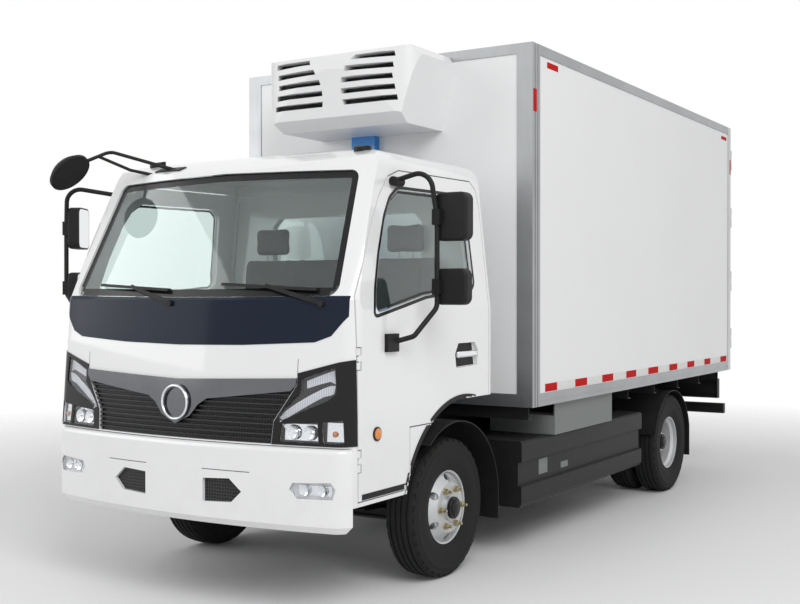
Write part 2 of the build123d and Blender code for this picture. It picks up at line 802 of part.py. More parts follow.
def make_front_wheel():
    f = FRONT_FACE_X
    wheel = make_rim(FRONT_TYRE_X, f) + make_drum(KINGPIN_X + 80, f)
    wheel = wheel + rod_x(KINGPIN_X + 70, f + 17, 0, 0, HUB_R)
    wheel = wheel - rod_x(KINGPIN_X + 60, f - 7, 0, 0, SPINDLE_R + FIT)
    return Pos(0, 0, TYRE_R) * wheel


def make_rear_wheel():
    f = REAR_FACE_X
    inner = make_rim(REAR_OUTER_X - TWIN_PITCH, f)
    outer = mirror(inner, about=Plane.YZ.offset(f))
    wheel = inner + outer + make_drum(REAR_DRUM_X, f) + rod_x(REAR_DRUM_X, f + 133, 0, 0, HUB_R)
    wheel = wheel - rod_x(REAR_DRUM_X - 10, f + 72, 0, 0, SPINDLE_R + FIT)
    return Pos(0, WHEELBASE, TYRE_R) * wheel


def make_tyre(centre_x, y):
    """A tyre whose beads seat on the rim."""
    half = TYRE_W / 2
    bead = RIM_W / 2 - 10
    side = [(half - 20, TYRE_R), (half - 5, TYRE_R - 14), (half, TYRE_R - 88), (half - 20, RIM_R + 4),
            (bead + 1, RIM_R + 1), (bead, RIM_SEAT_R), (bead - 16, RIM_SEAT_R),
            (half - 12, TYRE_R - 90), (half - 26, TYRE_R - 18)]
    outline = side + [(-x, r) for x, r in reversed(side)]
    return Pos(centre_x, 0, 0) * turned(outline, y, TYRE_R)


# Chassis fittings

def make_mudguards():
    front = arc_strip(0, TYRE_R, GUARD_R, GUARD_R + 6, 2, 128, GUARD_X0, GUARD_X1)
    front = front + block(GUARD_X0, GUARD_X1, GUARD_R - 4, GUARD_R + 4, 250, TYRE_R + 30)
    front = front + arc_strip(0, TYRE_R, GUARD_R + 1, GUARD_R + 30, 28, 34, RAIL_X, GUARD_X0 + 50)
    r = REAR_GUARD_R
    end = REAR_GUARD_END
    rear = arc_strip(WHEELBASE, TYRE_R, r, r + 5, end, 180 - end, REAR_GUARD_X0, REAR_GUARD_X1)
    flap_y = WHEELBASE + r * math.cos(math.radians(end))
    flap_top = TYRE_R + r * math.sin(math.radians(end)) + 4
    rear = rear + block(REAR_GUARD_X0, REAR_GUARD_X1, flap_y - 2, flap_y + 6, 240, flap_top)
    for start in (36, 139):
        rear = rear + arc_strip(WHEELBASE, TYRE_R, r + 1, r + 26, start, start + 5, RAIL_X, REAR_GUARD_X0 + 40)
    return group([both_sides(front), both_sides(rear)])


def make_rear_bumper():
    """The underrun bar on its two hangers, with the lamp brackets above it."""
    y0 = RAIL_REAR_Y + SEAT_GAP
    bar = block(-BUMPER_BAR_X, BUMPER_BAR_X, y0 + 15, y0 + 70, BUMPER_BAR_Z, BUMPER_BAR_Z + 90)
    bar = chamfer(bar.edges().filter_by(Axis.X), 8)
    for sign in (1, -1):
        bar = bar + block(sign * 390 - 40, sign * 390 + 40, y0, y0 + 16, BUMPER_BAR_Z + 20, RAIL_Z1 - 6)
    top = RAIL_Z1 + BEARER_H - SEAT_GAP
    bracket = block(RAIL_X + 60, BEARER_X, BRACKET_Y0, BRACKET_Y1, BRACKET_Z0, top)
    bracket = bracket - block(
        RAIL_X + 68, BEARER_X - 8, BRACKET_Y0 - 1, BRACKET_Y1 - 8, BRACKET_Z0 + 8, top - 8
    )
    return group([bar, both_sides(bracket)])


def make_tail_lamps():
    lamps = []
    for x0, x1 in TAIL_LAMPS:
        lamp = block(x0, x1, BRACKET_Y1, BRACKET_Y1 + 34, BRACKET_Z0 + 26, BRACKET_Z0 + 116)
        lamps.append(both_sides(chamfer(lamp.edges().filter_by(Axis.Y), 14)))
    return group(lamps)


# Cargo box
PANEL_X = BOX_HALF_W - SKIN_SET_IN
PANEL_Y0 = BOX_FRONT_Y + SKIN_SET_IN
PANEL_Y1 = BOX_REAR_Y - DOOR_T
PANEL_Z0 = BOX_Z0 + SKIN_SET_IN
PANEL_Z1 = BOX_Z1 - SKIN_SET_IN


def make_box_floor():
    """The floor panel with the raised deck sheet that the load stands on."""
    x = PANEL_X - WALL - DECK_EDGE
    panel = block(-PANEL_X, PANEL_X, PANEL_Y0, PANEL_Y1, PANEL_Z0, PANEL_Z0 + WALL)
    deck_top = PANEL_Z0 + WALL + DECK_T
    return panel + block(-x, x, PANEL_Y0 + WALL + DECK_EDGE, PANEL_Y1 - DECK_EDGE, PANEL_Z0 + WALL - 1, deck_top)


def make_box_roof():
    return block(-PANEL_X, PANEL_X, PANEL_Y0, PANEL_Y1, PANEL_Z1 - WALL, PANEL_Z1)


def make_box_front():
    return block(-PANEL_X, PANEL_X, PANEL_Y0, PANEL_Y0 + WALL, PANEL_Z0 + WALL, PANEL_Z1 - WALL)


def make_box_side():
    return block(PANEL_X - WALL, PANEL_X, PANEL_Y0 + WALL, PANEL_Y1, PANEL_Z0 + WALL, PANEL_Z1 - WALL)


def make_edge_rails():
    """Aluminium angles that lap the panels' edges, each a bar of its own."""
    side = BOX_HALF_W
    skin = SKIN_SET_IN
    front = BOX_FRONT_Y
    z0 = BOX_Z0
    z1 = BOX_Z1
    post = block(side - skin, side, front, front + POST, z0, z1)
    post = post + block(side - POST, side, front, front + skin, z0, z1)
    for y in (front + 26, front + 62):
        post = post - block(side - 3, side + 1, y, y + 16, z0 - 1, z1 + 1)
    y0 = front + POST + SEAT_GAP
    top = block(side - skin, side, y0, PANEL_Y1, z1 - TOP_RAIL, z1)
    top = top + block(side - TOP_RAIL, side, y0, PANEL_Y1, z1 - skin, z1)
    low = block(side - skin, side, y0, PANEL_Y1, z0, z0 + BOTTOM_RAIL)
    low = low - block(side - 3, side + 1, y0 - 1, PANEL_Y1 + 1, z0 + 26, z0 + 42)
    x1 = side - POST - SEAT_GAP
    cross_top = block(-x1, x1, front, front + skin, z1 - TOP_RAIL, z1)
    cross_top = cross_top + block(-x1, x1, front, front + TOP_RAIL, z1 - skin, z1)
    cross_low = block(-x1, x1, front, front + skin, z0, z0 + BOTTOM_RAIL)
    return group([both_sides(post), both_sides(top), both_sides(low), cross_top, cross_low])


def barrel(z0, z1, face_y):
    """A rear hinge knuckle with the web that joins it to a face."""
    web = block(REAR_PIN_X - REAR_BARREL_R, REAR_PIN_X + REAR_BARREL_R, face_y, REAR_PIN_Y, z0, z1)
    return web + rod_z(REAR_PIN_X, REAR_PIN_Y, z0, z1, REAR_BARREL_R)


def make_rear_frame():
    """Posts, header and sill round the rear doors, with the hinges' fixed knuckles."""
    y1 = BOX_REAR_Y - REAR_FRAME_SET_IN
    side = BOX_HALF_W
    post = block(side - REAR_POST, side, PANEL_Y1, y1, BOX_Z0, BOX_Z1)
    half = REAR_HINGE_H / 2
    for z in REAR_HINGE_Z:
        post = post + barrel(z - half - REAR_HINGE_H, z - half - SEAT_GAP, y1)
        post = post + barrel(z + half + SEAT_GAP, z + half + REAR_HINGE_H, y1)
    x1 = side - REAR_POST - SEAT_GAP
    header = block(-x1, x1, PANEL_Y1, y1, BOX_Z1 - HEADER_H, BOX_Z1)
    sill = block(-x1, x1, PANEL_Y1, y1, BOX_Z0, BOX_Z0 + SILL_H)
    return group([both_sides(post), header, sill])


def make_rear_door():
    """The left rear door with its hinge straps and moving knuckles."""
    x1 = BOX_HALF_W - REAR_POST - DOOR_SEAM
    z0 = BOX_Z0 + SILL_H + DOOR_SEAM
    z1 = BOX_Z1 - HEADER_H - DOOR_SEAM
    door = block(DOOR_MEET, x1, PANEL_Y1 + SEAT_GAP, BOX_REAR_Y, z0, z1)
    for z in REAR_HINGE_Z:
        low = z - REAR_HINGE_H / 2
        high = z + REAR_HINGE_H / 2
        door = door + block(x1 - 170, REAR_PIN_X, BOX_REAR_Y, BOX_REAR_Y + 8, low, high)
        door = door + barrel(low, high, BOX_REAR_Y)
    return door


def make_lock_bar():
    """The left door's lock bar with its cams, guides and handle."""
    face = BOX_REAR_Y
    y = face + 18
    tip = REAR_END
    z0 = BOX_Z0 + SILL_H - 20
    z1 = BOX_Z1 - HEADER_H + 20
    pieces = [rod_z(LOCK_X, y, z0, z1, LOCK_R)]
    for z in (z0, z1 - 36):
        pieces.append(block(LOCK_X - 30, LOCK_X + 16, face + 2, y + 10, z, z + 36))
    for z in LOCK_GUIDES:
        pieces.append(block(LOCK_X - 36, LOCK_X + 36, face, y + 14, z - 24, z + 24))
    pieces.append(block(LOCK_X, LOCK_X + 330, y + 5, tip, LOCK_HANDLE_Z - 14, LOCK_HANDLE_Z + 14))
    pieces.append(block(LOCK_X + 240, LOCK_X + 280, face, y + 6, LOCK_HANDLE_Z - 34, LOCK_HANDLE_Z + 34))
    return fuse_all(pieces)


def make_evaporator():
    """The cooling coil case under the box's roof, behind the front wall."""
    z1 = PANEL_Z1 - WALL
    y0 = PANEL_Y0 + WALL
    outline = [(y0, z1), (y0 + 560, z1), (y0 + 560, z1 - 150), (y0 + 420, z1 - 200), (y0, z1 - 200)]
    case = side_prism(outline, -520, 520)
    for x in (-340, 0, 340):
        case = case - rod_y(x, y0 + 500, y0 + 570, z1 - 76, 62)
    return case


def make_cooling_unit():
    """The moulded nose housing: bowed face, raked front, narrower foot, louvred."""
    back = PANEL_Y0
    front = COOL_FRONT_Y
    half = COOL_HALF_W
    z0 = COOL_Z0
    z1 = COOL_Z1
    body = extrude(bow_face(front, half, 130, COOL_BOW_R, back, z0), amount=z1 - z0)
    side = [
        Polyline((back, z1), (front + 150, z1)),
        ThreePointArc((front + 150, z1), (front + 46, z1 - 28), (front, z1 - 110)),
        Polyline((front, z1 - 110), (front + 56, z0 + 60), (front + 150, z0), (back, z0), (back, z1)),
    ]
    body = body & extrude(Plane.YZ.offset(-900) * make_face(side), amount=1800)
    body = body & front_prism(
        [(40 - half, z1), (-half, z1 - 50), (92 - half, z0), (half - 92, z0), (half, z1 - 50), (half - 40, z1)],
        front - 10, back,
    )
    for z, inner, outer, slant in COOL_SLOTS:
        for sign in (1, -1):
            slot = [(sign * inner, z), (sign * (inner + slant), z + COOL_SLOT_H),
                    (sign * outer, z + COOL_SLOT_H), (sign * (outer + 6), z)]
            body = body - front_prism(slot, front - 20, front + 150)
    return body - block(-900, 900, BOX_FRONT_Y, PANEL_Y0 + 1, BOX_Z1 - TOP_RAIL - SEAT_GAP, BOX_Z1)


def make_line_cover():
    low = BOX_Z0 + BOTTOM_RAIL + SEAT_GAP
    return block(-190, -10, BOX_FRONT_Y - 48, PANEL_Y0, low, COOL_Z0)


# Cab fittings

def make_cab_glass():
    band = GLASS_OUTER - GLASS_INNER
    screen = band & screen_cutter()
    rear = band & rear_glass_cutter()
    return group([screen, rear])


def make_door_glass():
    return (GLASS_OUTER - GLASS_INNER) & side_glass_cutter()


def make_cowl_panel():
    cutter = front_cutter(COWL_OUTLINE, 0, NOSE_Y0, FACE_END_Y)
    return cab_band(-2, PANEL_DEPTH, cutter) - screen_cutter()


def make_grille():
    """Back plate with bowed blades, and the two mesh plates in the bumper's vents."""
    cutter = front_cutter(GRILLE_OUTLINE, 0, NOSE_Y0, NOSE_Y1)
    wing = front_cutter(WING_OUTLINE, 0, NOSE_Y0, NOSE_Y1)
    emblem = rod_y(0, NOSE_Y0, NOSE_Y1, EMBLEM_Z, EMBLEM_R)
    blades = []
    z = min(z for x, z in GRILLE_OUTLINE) + 18
    while z < WING_OUTLINE[0][1]:
        blades.append(block(-720, 720, NOSE_Y0, NOSE_Y1, z, z + GRILLE_BLADE))
        z += GRILLE_PITCH
    front = cab_band(3, 21, cutter) & Compound(children=blades)
    plate = cab_band(20, PANEL_DEPTH, cutter)
    mesh = plate + (front - wing - emblem)
    vents = (bumper_form(18) - bumper_form(30)) & front_cutter(VENT_OUTLINE, 0, NOSE_Y0, NOSE_Y1)
    return group([mesh, both_sides(vents)])


def make_grille_bar():
    """The chrome wing across the grille with its plain ring."""
    emblem = rod_y(0, NOSE_Y0, NOSE_Y1, EMBLEM_Z, EMBLEM_R)
    bar = cab_band(-8, 20, front_cutter(WING_OUTLINE, 0, NOSE_Y0, NOSE_Y1) + emblem)
    ring = cab_band(-18, 0, emblem) - rod_y(0, NOSE_Y0, NOSE_Y1, EMBLEM_Z, EMBLEM_R - 20)
    return bar + ring


def make_headlamps():
    body = cab_band(-4, PANEL_DEPTH, front_cutter(LAMP_OUTLINE, 0, NOSE_Y0, FACE_END_Y))
    depth = cab_form(22)
    for outline in LENS_OUTLINES:
        body = body - (front_prism(outline, NOSE_Y0, FACE_END_Y) - depth)
    return both_sides(body)


def make_lamp_lenses():
    """Clear covers over the headlamps' chambers and the fog lamps."""
    lenses = []
    band = cab_form(0) - cab_form(6)
    for outline in LENS_OUTLINES:
        lenses.append(both_sides(band & front_prism(outline, NOSE_Y0, FACE_END_Y)))
    fog_band = bumper_form(5) - bumper_form(11)
    lenses.append(both_sides(fog_band & front_prism(FOG_OUTLINE, NOSE_Y0, NOSE_Y1)))
    return group(lenses)


def bumper_form(inset):
    plan = bow_face(
        -FRONT_OVERHANG + inset, CAB_HALF_W - inset, 110 - inset, CAB_BOW_R - inset, -900, BUMPER_Z0
    )
    return extrude(plan, amount=BUMPER_Z1 - BUMPER_Z0) & block(
        -1100, 1100, -FRONT_OVERHANG - 10, BUMPER_REAR_Y, BUMPER_Z0 - 10, BUMPER_Z1 + 10
    )


def make_front_bumper():
    """A wrap-round bumper, hollow and open at the back and below."""
    shell = bumper_form(0)
    low = shell.faces().sort_by(Axis.Z)[0].edges().filter_by(lambda e: e.center().Y < BUMPER_REAR_Y - 10)
    shell = chamfer(low, 36)
    high = shell.faces().sort_by(Axis.Z)[-1].edges().filter_by(lambda e: e.center().Y < BUMPER_REAR_Y - 10)
    shell = fillet(high, BUMPER_TOP_R)
    shell = shell - (bumper_form(BUMPER_WALL) - block(-1100, 1100, -1400, 0, BUMPER_Z1 - BUMPER_WALL, 900))
    lamp_depth = bumper_form(22)
    for side in (1, -1):
        shell = shell - front_cutter([(side * x, z) for x, z in VENT_OUTLINE], 0, NOSE_Y0, NOSE_Y1)
        fog = front_cutter([(side * x, z) for x, z in FOG_OUTLINE], 0, NOSE_Y0, NOSE_Y1)
        shell = shell - (fog - lamp_depth)
    return shell


def make_wipers():
    """Each arm and blade, cut from the cab's own form, on a round pivot boss."""
    arms = []
    for x in WIPER_PIVOTS:
        arm = [(x + 5, 1524), (x + 5, 1544), (x - 330, 1628), (x - 330, 1612), (x - 5, 1524)]
        blade = [(x - 40, 1592), (x - 40, 1606), (x - 600, 1634), (x - 600, 1620)]
        face_y = COWL_Y + CAB_BOW_R - math.sqrt(CAB_BOW_R**2 - x**2)
        boss = rod_y(x, face_y - 19, face_y + 30, 1530, 15) - cab_form(-2)
        arms.append(
            cab_band(-13, -5, front_prism(arm, NOSE_Y0, NOSE_Y1))
            + cab_band(-9, GLASS_SET_IN, front_prism(blade, NOSE_Y0, NOSE_Y1))
            + boss
        )
    return group(arms)


def make_roof_lamps():
    return both_sides((cab_form(-24) - CAB_OUTER) & rod_z(730, -590, 2000, 2500, 46))


def make_dashboard():
    outline = [(-1105, 1120), (-1105, 1470), (-1040, 1512), (-840, 1500), (-770, 1440), (-800, 1250),
               (-900, 1120)]
    binnacle = [(-920, 1480), (-860, 1590), (-790, 1580), (-772, 1440)]
    console = [(-980, FLOOR_Z + CAB_SKIN), (-980, 1130), (-800, 1250), (-760, 1100), (-800, FLOOR_Z + CAB_SKIN)]
    dash = side_prism(outline, -DASH_X, DASH_X) + side_prism(binnacle, WHEEL_X - 190, WHEEL_X + 190)
    dash = dash + side_prism(console, -160, 160)
    return dash & CAB_INNER


def make_steering_wheel(dash):
    """The wheel, its spokes and its column down to the dashboard."""
    wheel = Torus(190, 15) + Cylinder(48, 40) + Box(370, 34, 14) + Pos(0, -95, 0) * Box(34, 190, 14)
    wheel = wheel + Pos(0, 0, -140) * Cylinder(34, 280)
    return Pos(WHEEL_X, WHEEL_Y, WHEEL_Z) * Rot(-WHEEL_TILT, 0, 0) * wheel - dash


def make_seats():
    """Cushions and backs with head rests, on plain bases that follow the raised floor."""
    solids = []
    room = underside(CAB_SKIN)
    top = SEAT_Z + 130
    wall = CAB_REAR_Y - CAB_SKIN - SEAT_GAP
    for x, half, rest_x in SEATS:
        cushion = block(x - half, x + half, -330, 130, SEAT_Z, top)
        solids.append(chamfer(cushion.edges(), 26))
        outline = [(125, top + SEAT_GAP), (225, top + SEAT_GAP), (wall, top + 430), (wall, top + 540),
                   (200, top + 560), (165, top + 520)]
        back = side_prism(outline, x - half, x + half)
        rest = block(rest_x - 135, rest_x + 135, 170, wall - 10, top + 550, top + 740)
        solids.append(back + chamfer(rest.edges().filter_by(Axis.Y), 40))
        base = block(x - half + 20, x + half - 20, -290, 110, 900, SEAT_Z)
        solids.append(base - room)
    return group(solids)


def make_mirror_set(place):
    """Door mirrors as on the left: one bent tube between two door brackets, with two heads."""
    x = place["x"]
    y = place["y"]
    foot_y = place["foot_y"]
    foot_z = place["foot_z"]
    tube = tube_path(
        [(900, -600, 2146), (x - 30, y - 20, 2206), (x, y, 1960), (x, y, foot_z + 180),
         (1090, foot_y + 60, foot_z + 36), (980, foot_y, foot_z)],
        [80, 80, 60, 40], 13,
    )
    tube = tube + rod_y(950, -640, -560, 2150, 24)
    tube = tube + block(950, 1022, foot_y - 70, foot_y + 30, foot_z - 40, foot_z + 50)
    inner = -MIRROR_OVERLAP
    outer = MIRROR_W - MIRROR_OVERLAP
    big = block(inner, outer, 12, 82, 1845, 2090)
    big = fillet(big.edges().filter_by(Axis.Y), 40)
    big = fillet(big.faces().sort_by(Axis.Y)[0].edges(), 16)
    small = block(inner, outer, 12, 72, 1522, 1706)
    small = fillet(small.edges().filter_by(Axis.Y), 40)
    small = fillet(small.faces().sort_by(Axis.Y)[0].edges(), 16)
    heads = big + small
    for z in (1965, 1614):
        heads = heads + block(-22, 22, -16, 30, z - 40, z + 40)
    return tube + Pos(x, y, 0) * Rot(0, 0, place["turn"]) * heads - CAB_OUTER


def make_lookdown_mirror():
    """The domed look-down mirror on its two stays at the right roof corner."""
    looks = Vector(0.72, 0.12, -0.68).normalized()
    profile = [(0, 0), (DISH_R, 0), (DISH_R, 16), (DISH_R - 30, 44), (DISH_R - 70, 58), (0, 62)]
    face = Plane.XZ * make_face(Polyline(*profile, close=True))
    dish = Plane(origin=(DISH_X, DISH_Y, DISH_Z), z_dir=looks * -1) * revolve(face, axis=Axis.Z)
    stays = tube_path([(-430, -715, 2268), (-900, -800, 2402), (DISH_X - 26, DISH_Y, DISH_Z + 28)], [60], 10)
    stays = stays + tube_path([(-560, -745, 2245), (-735, -800, 2285), (-932, -850, 2368)], [40], 9)
    foot = Pos(-495, -722, 2272) * Rot(23, 0, 0) * Box(190, 60, 26)
    return dish + stays + foot - CAB_OUTER


export_list = {}


def keep(name, shape):
    export_list[name] = shape


def keep_pair(name, shape):
    """A left piece and its right-hand twin, as nodes of their own."""
    keep(name + "_left", shape)
    keep(name + "_right", other_side(shape))


cab_full = make_cab_full()
dash = make_dashboard()
rear_tyres = group([make_tyre(REAR_OUTER_X, WHEELBASE), make_tyre(REAR_OUTER_X - TWIN_PITCH, WHEELBASE)])
front_springs = make_springs(0, AXLE_TOP_Z, 600, 95)
rear_springs = make_springs(WHEELBASE, REAR_PAD_Z, 590, 80)

keep("ladder_frame", make_ladder_frame())
keep("body_bearers", make_body_bearers())
keep("front_axle", make_front_axle())
keep("rear_axle", make_rear_axle())
keep("leaf_springs", group([both_sides(front_springs), both_sides(rear_springs)]))
keep("drive_shaft", make_drive_shaft())
keep("power_unit", make_power_unit())
keep("battery_boxes", make_battery_boxes())
keep("service_boxes", make_service_box())
keep("mudguards", make_mudguards())
keep("rear_bumper", make_rear_bumper())
keep("tail_lamps", make_tail_lamps())
keep("box_floor", make_box_floor())
keep("box_roof", make_box_roof())
keep("box_front_wall", make_box_front())
keep_pair("box_wall", make_box_side())
keep("box_edge_rails", make_edge_rails())
keep("rear_door_frame", make_rear_frame())
keep("evaporator", make_evaporator())
keep("cooling_unit", make_cooling_unit())
keep("line_cover", make_line_cover())
keep_pair("rear_door", make_rear_door())
keep_pair("lock_bar", make_lock_bar())
keep_pair("steering_knuckle", make_knuckle())
keep("tie_rod", make_tie_rod())
keep_pair("front_wheel", make_front_wheel())
keep_pair("front_tyre", make_tyre(FRONT_TYRE_X, 0))
keep_pair("rear_wheels", make_rear_wheel())
keep_pair("rear_tyres", rear_tyres)
keep("cab_shell", make_cab_shell(cab_full))
keep("cab_glass", make_cab_glass())
keep("dashboard", dash)
keep("steering_wheel", make_steering_wheel(dash))
keep("seats", make_seats())
keep("cowl_panel", make_cowl_panel())
keep("grille", make_grille())
keep("grille_bar", make_grille_bar())
keep("headlamps", make_headlamps())
keep("lamp_lenses", make_lamp_lenses())
keep("front_bumper", make_front_bumper())
keep("wipers", make_wipers())
keep("roof_lamps", make_roof_lamps())
keep("lookdown_mirror", make_lookdown_mirror())
keep_pair("cab_door", make_door(cab_full))
keep_pair("door_glass", make_door_glass())
keep("mirror_set_left", make_mirror_set(LEFT_MIRRORS))
keep("mirror_set_right", other_side(make_mirror_set(RIGHT_MIRRORS)))

os.makedirs("parts", exist_ok=True)
for name, shape in export_list.items():
    moved = Pos(0, CENTRE_SHIFT, 0) * shape
    export_step(moved, f"parts/{name}.step")
    print(name, len(shape.solids()), round(shape.volume / 1e6, 2))
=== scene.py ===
# %% [markdown]
# A light refrigerated truck, dressed for a studio photograph.
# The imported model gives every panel, wheel and hinge in its true place. This lesson adds what a model for
# engineering leaves out: paint, glass and rubber that look like the real finishes, and the small pieces, such
# as tread, wheel nuts, lamps and trim, that the eye expects on a real truck.

# %% Load the model
import bpy
import bmesh
import math
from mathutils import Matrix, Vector


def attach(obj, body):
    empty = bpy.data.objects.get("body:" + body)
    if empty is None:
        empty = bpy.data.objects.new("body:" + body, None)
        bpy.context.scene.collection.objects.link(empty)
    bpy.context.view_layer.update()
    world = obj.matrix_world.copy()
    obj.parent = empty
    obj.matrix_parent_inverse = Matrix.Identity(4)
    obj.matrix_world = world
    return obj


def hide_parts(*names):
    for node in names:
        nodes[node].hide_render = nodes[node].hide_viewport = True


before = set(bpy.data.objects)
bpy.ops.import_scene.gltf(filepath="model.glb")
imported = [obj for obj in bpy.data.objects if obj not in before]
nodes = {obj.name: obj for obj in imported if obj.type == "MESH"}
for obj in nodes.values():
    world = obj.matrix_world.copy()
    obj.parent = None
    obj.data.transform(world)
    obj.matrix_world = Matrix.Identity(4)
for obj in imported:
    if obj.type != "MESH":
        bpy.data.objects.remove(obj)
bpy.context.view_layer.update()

# %% [markdown]
# All places below are written as on a drawing: millimetres from the front axle, x to the truck's left, y to
# its rear, z up. One helper turns them into the scene's metres, whose origin is under the truck's middle. SHIFT is
# the front axle's own place there, in metres.

# %% Drawing places
SHIFT = -1.7775
WHEELBASE = 3300
TYRE_R = 388


def place(x, y, z):
    return Vector((x / 1000, y / 1000 + SHIFT, z / 1000))


print("front axle at", tuple(place(0, 0, TYRE_R)))

# %% [markdown]
# The camera. Its place, direction and lens were worked out from the photograph: the box's corners and the
# wheels give enough straight lines to solve for all of them. The small sideways shift is the crop of the
# original picture.

# %% Camera
camera = bpy.data.cameras.new("camera")
camera.lens = 50.385
camera.sensor_width = 36
camera.shift_x = -0.05
camera_object = bpy.data.objects.new("camera", camera)
bpy.context.scene.collection.objects.link(camera_object)
camera_object.location = (4.0663, -7.1618, 1.5695)
yaw = 0.539
pitch = -0.0058
forward = Vector((-math.sin(yaw) * math.cos(pitch), math.cos(yaw) * math.cos(pitch), math.sin(pitch)))
camera_object.rotation_euler = forward.to_track_quat("-Z", "Y").to_euler()
bpy.context.scene.camera = camera_object
bpy.context.scene.view_settings.view_transform = "Standard"
print("camera", tuple(round(v, 3) for v in camera_object.location))

# %% [markdown]
# Finishes are node trees. Two small classes let the sums be written as sums: a Link is one output socket, and
# adding or multiplying it adds a Math node behind the scenes. Finish holds one material, and its node method
# adds any other node from its type, its settings and its inputs.

# %% Material classes
class Link:
    """One socket of a material, on which sums are written as sums."""

    def __init__(self, finish, socket):
        self.finish = finish
        self.socket = socket

    def math(self, operation, first, second):
        return self.finish.node("Math", {"operation": operation}, {0: first, 1: second})

    def __add__(self, other):
        return self.math("ADD", self, other)

    def __radd__(self, other):
        return self.math("ADD", other, self)

    def __sub__(self, other):
        return self.math("SUBTRACT", self, other)

    def __rsub__(self, other):
        return self.math("SUBTRACT", other, self)

    def __mul__(self, other):
        return self.math("MULTIPLY", self, other)

    def __rmul__(self, other):
        return self.math("MULTIPLY", other, self)

    def __pow__(self, other):
        return self.math("POWER", self, other)


class Finish:
    """One material, with its Principled shader and a method that adds any node."""

    def __init__(self, name, color, roughness, **sockets):
        self.material = bpy.data.materials.new(name)
        self.material.use_nodes = True
        self.tree = self.material.node_tree
        self.shader = self.tree.nodes["Principled BSDF"]
        self.set("Base Color", (*color, 1))
        self.set("Roughness", roughness)
        for socket, value in sockets.items():
            self.set(socket.replace("_", " "), value)

    def set(self, socket, value):
        """A constant goes on the shader's socket; a Link is joined to it."""
        if isinstance(value, Link):
            self.tree.links.new(value.socket, self.shader.inputs[socket])
        else:
            self.shader.inputs[socket].default_value = value

    def node(self, kind, settings, inputs, output=0):
        """Adds a node from its type, its settings, which are set first, and its inputs' values or links."""
        new = self.tree.nodes.new("ShaderNode" + kind)
        for key, value in settings.items():
            setattr(new, key, value)
        for key, value in inputs.items():
            if isinstance(value, Link):
                self.tree.links.new(value.socket, new.inputs[key])
            else:
                new.inputs[key].default_value = value
        return Link(self, new.outputs[output])

    def coordinates(self):
        return self.node("TexCoord", {}, {}, "Object")

    def axis(self, name):
        """One coordinate of the object, in metres."""
        return self.node("SeparateXYZ", {}, {0: self.coordinates()}, name)

    def noise(self, scale, detail=3.0, rough=0.5):
        return self.node("TexNoise", {}, {"Vector": self.coordinates(), "Scale": scale, "Detail": detail,
                                          "Roughness": rough})

    def mix(self, factor, first, second):
        """A colour between two colours."""
        first = (*first, 1) if isinstance(first, tuple) else first
        second = (*second, 1) if isinstance(second, tuple) else second
        return self.node("Mix", {"data_type": "RGBA"}, {0: factor, 6: first, 7: second}, 2)

    def between(self, value, low, high, start=0.0, end=1.0):
        """value, read from low to high, becomes a number from start to end, and stays inside it."""
        return self.node("MapRange", {}, {0: value, 1: low, 2: high, 3: start, 4: end})

    def bump(self, height, strength, distance=0.001):
        inputs = {"Height": height, "Strength": strength, "Distance": distance}
        self.set("Normal", self.node("Bump", {}, inputs))


print("material classes ready")

# %% [markdown]
# Paint. The cab has a clear-coated white: a faintly cool base under a thin glossy coat, with the faint orange
# peel of sprayed paint. Road dust gathers low down, so the colour goes a little grey towards the ground.
# The box's skin is white gel coat on plastic sheet: as bright, but softer in its gloss and a touch wavy.

# %% White finishes
ROAD_DUST = (0.46, 0.44, 0.41)
DUST_HEIGHTS = (0.45, 1.05)


def white_paint(name, color, roughness, coat, wave):
    """A coated white that turns dusty towards the ground; wave is how fine its ripple is."""
    paint = Finish(name, color, roughness, Coat_Roughness=0.04, IOR=1.48)
    low = paint.between(paint.axis("Z"), *DUST_HEIGHTS, 0.10, 0.0)
    dust = low * paint.between(paint.noise(9, 6, 0.6), 0.35, 0.75)
    soft = paint.between(paint.noise(1.4, 2, 0.4), 0.3, 0.7, 0.0, 0.05)
    paint.set("Base Color", paint.mix(dust + soft, color, ROAD_DUST))
    paint.set("Roughness", roughness + dust * 0.8)
    paint.set("Coat Weight", coat - dust)
    paint.bump(paint.noise(wave, 2, 0.4), 0.06)
    return paint.material


cab_white = white_paint("cab_white", (0.84, 0.845, 0.85), 0.32, 1.0, 300)
box_white = white_paint("box_white", (0.83, 0.835, 0.84), 0.38, 0.35, 18)
unit_white = white_paint("unit_white", (0.82, 0.825, 0.83), 0.40, 0.30, 120)
print("white finishes ready")

# %% [markdown]
# Dark finishes. Chassis paint is a satin black that dust settles on, most of all on faces that look up. Black
# plastic has a fine moulded grain. Rubber is the least shiny, with grey road dust on it. The band under the
# windscreen is a smooth blue-black, painted a touch lighter towards the truck's left: painted light, as if lit
# from that side. The grille and the vents are wire mesh: the edges of a Voronoi pattern's cells are a little paler
# and raised, and the cells are painted near-black: painted shade standing for the dark seen through the mesh's
# openings. This reads as wire without thousands of holes.

# %% Dark finishes
def dusty(name, color, roughness, dust_color, amount, grain, depth, **sockets):
    """A dark finish with a bumpy grain, on which dust settles from above."""
    finish = Finish(name, color, roughness, Specular_IOR_Level=0.22, **sockets)
    up = finish.node("SeparateXYZ", {}, {0: finish.node("NewGeometry", {}, {}, "Normal")}, "Z")
    settled = finish.between(up, 0.2, 1.0, 0.25, 1.0) * finish.between(finish.noise(14, 6, 0.6), 0.35, 0.8)
    finish.set("Base Color", finish.mix(settled * amount, color, dust_color))
    finish.set("Roughness", roughness + settled * 0.25)
    finish.bump(finish.noise(grain, 3, 0.6), depth)
    return finish.material


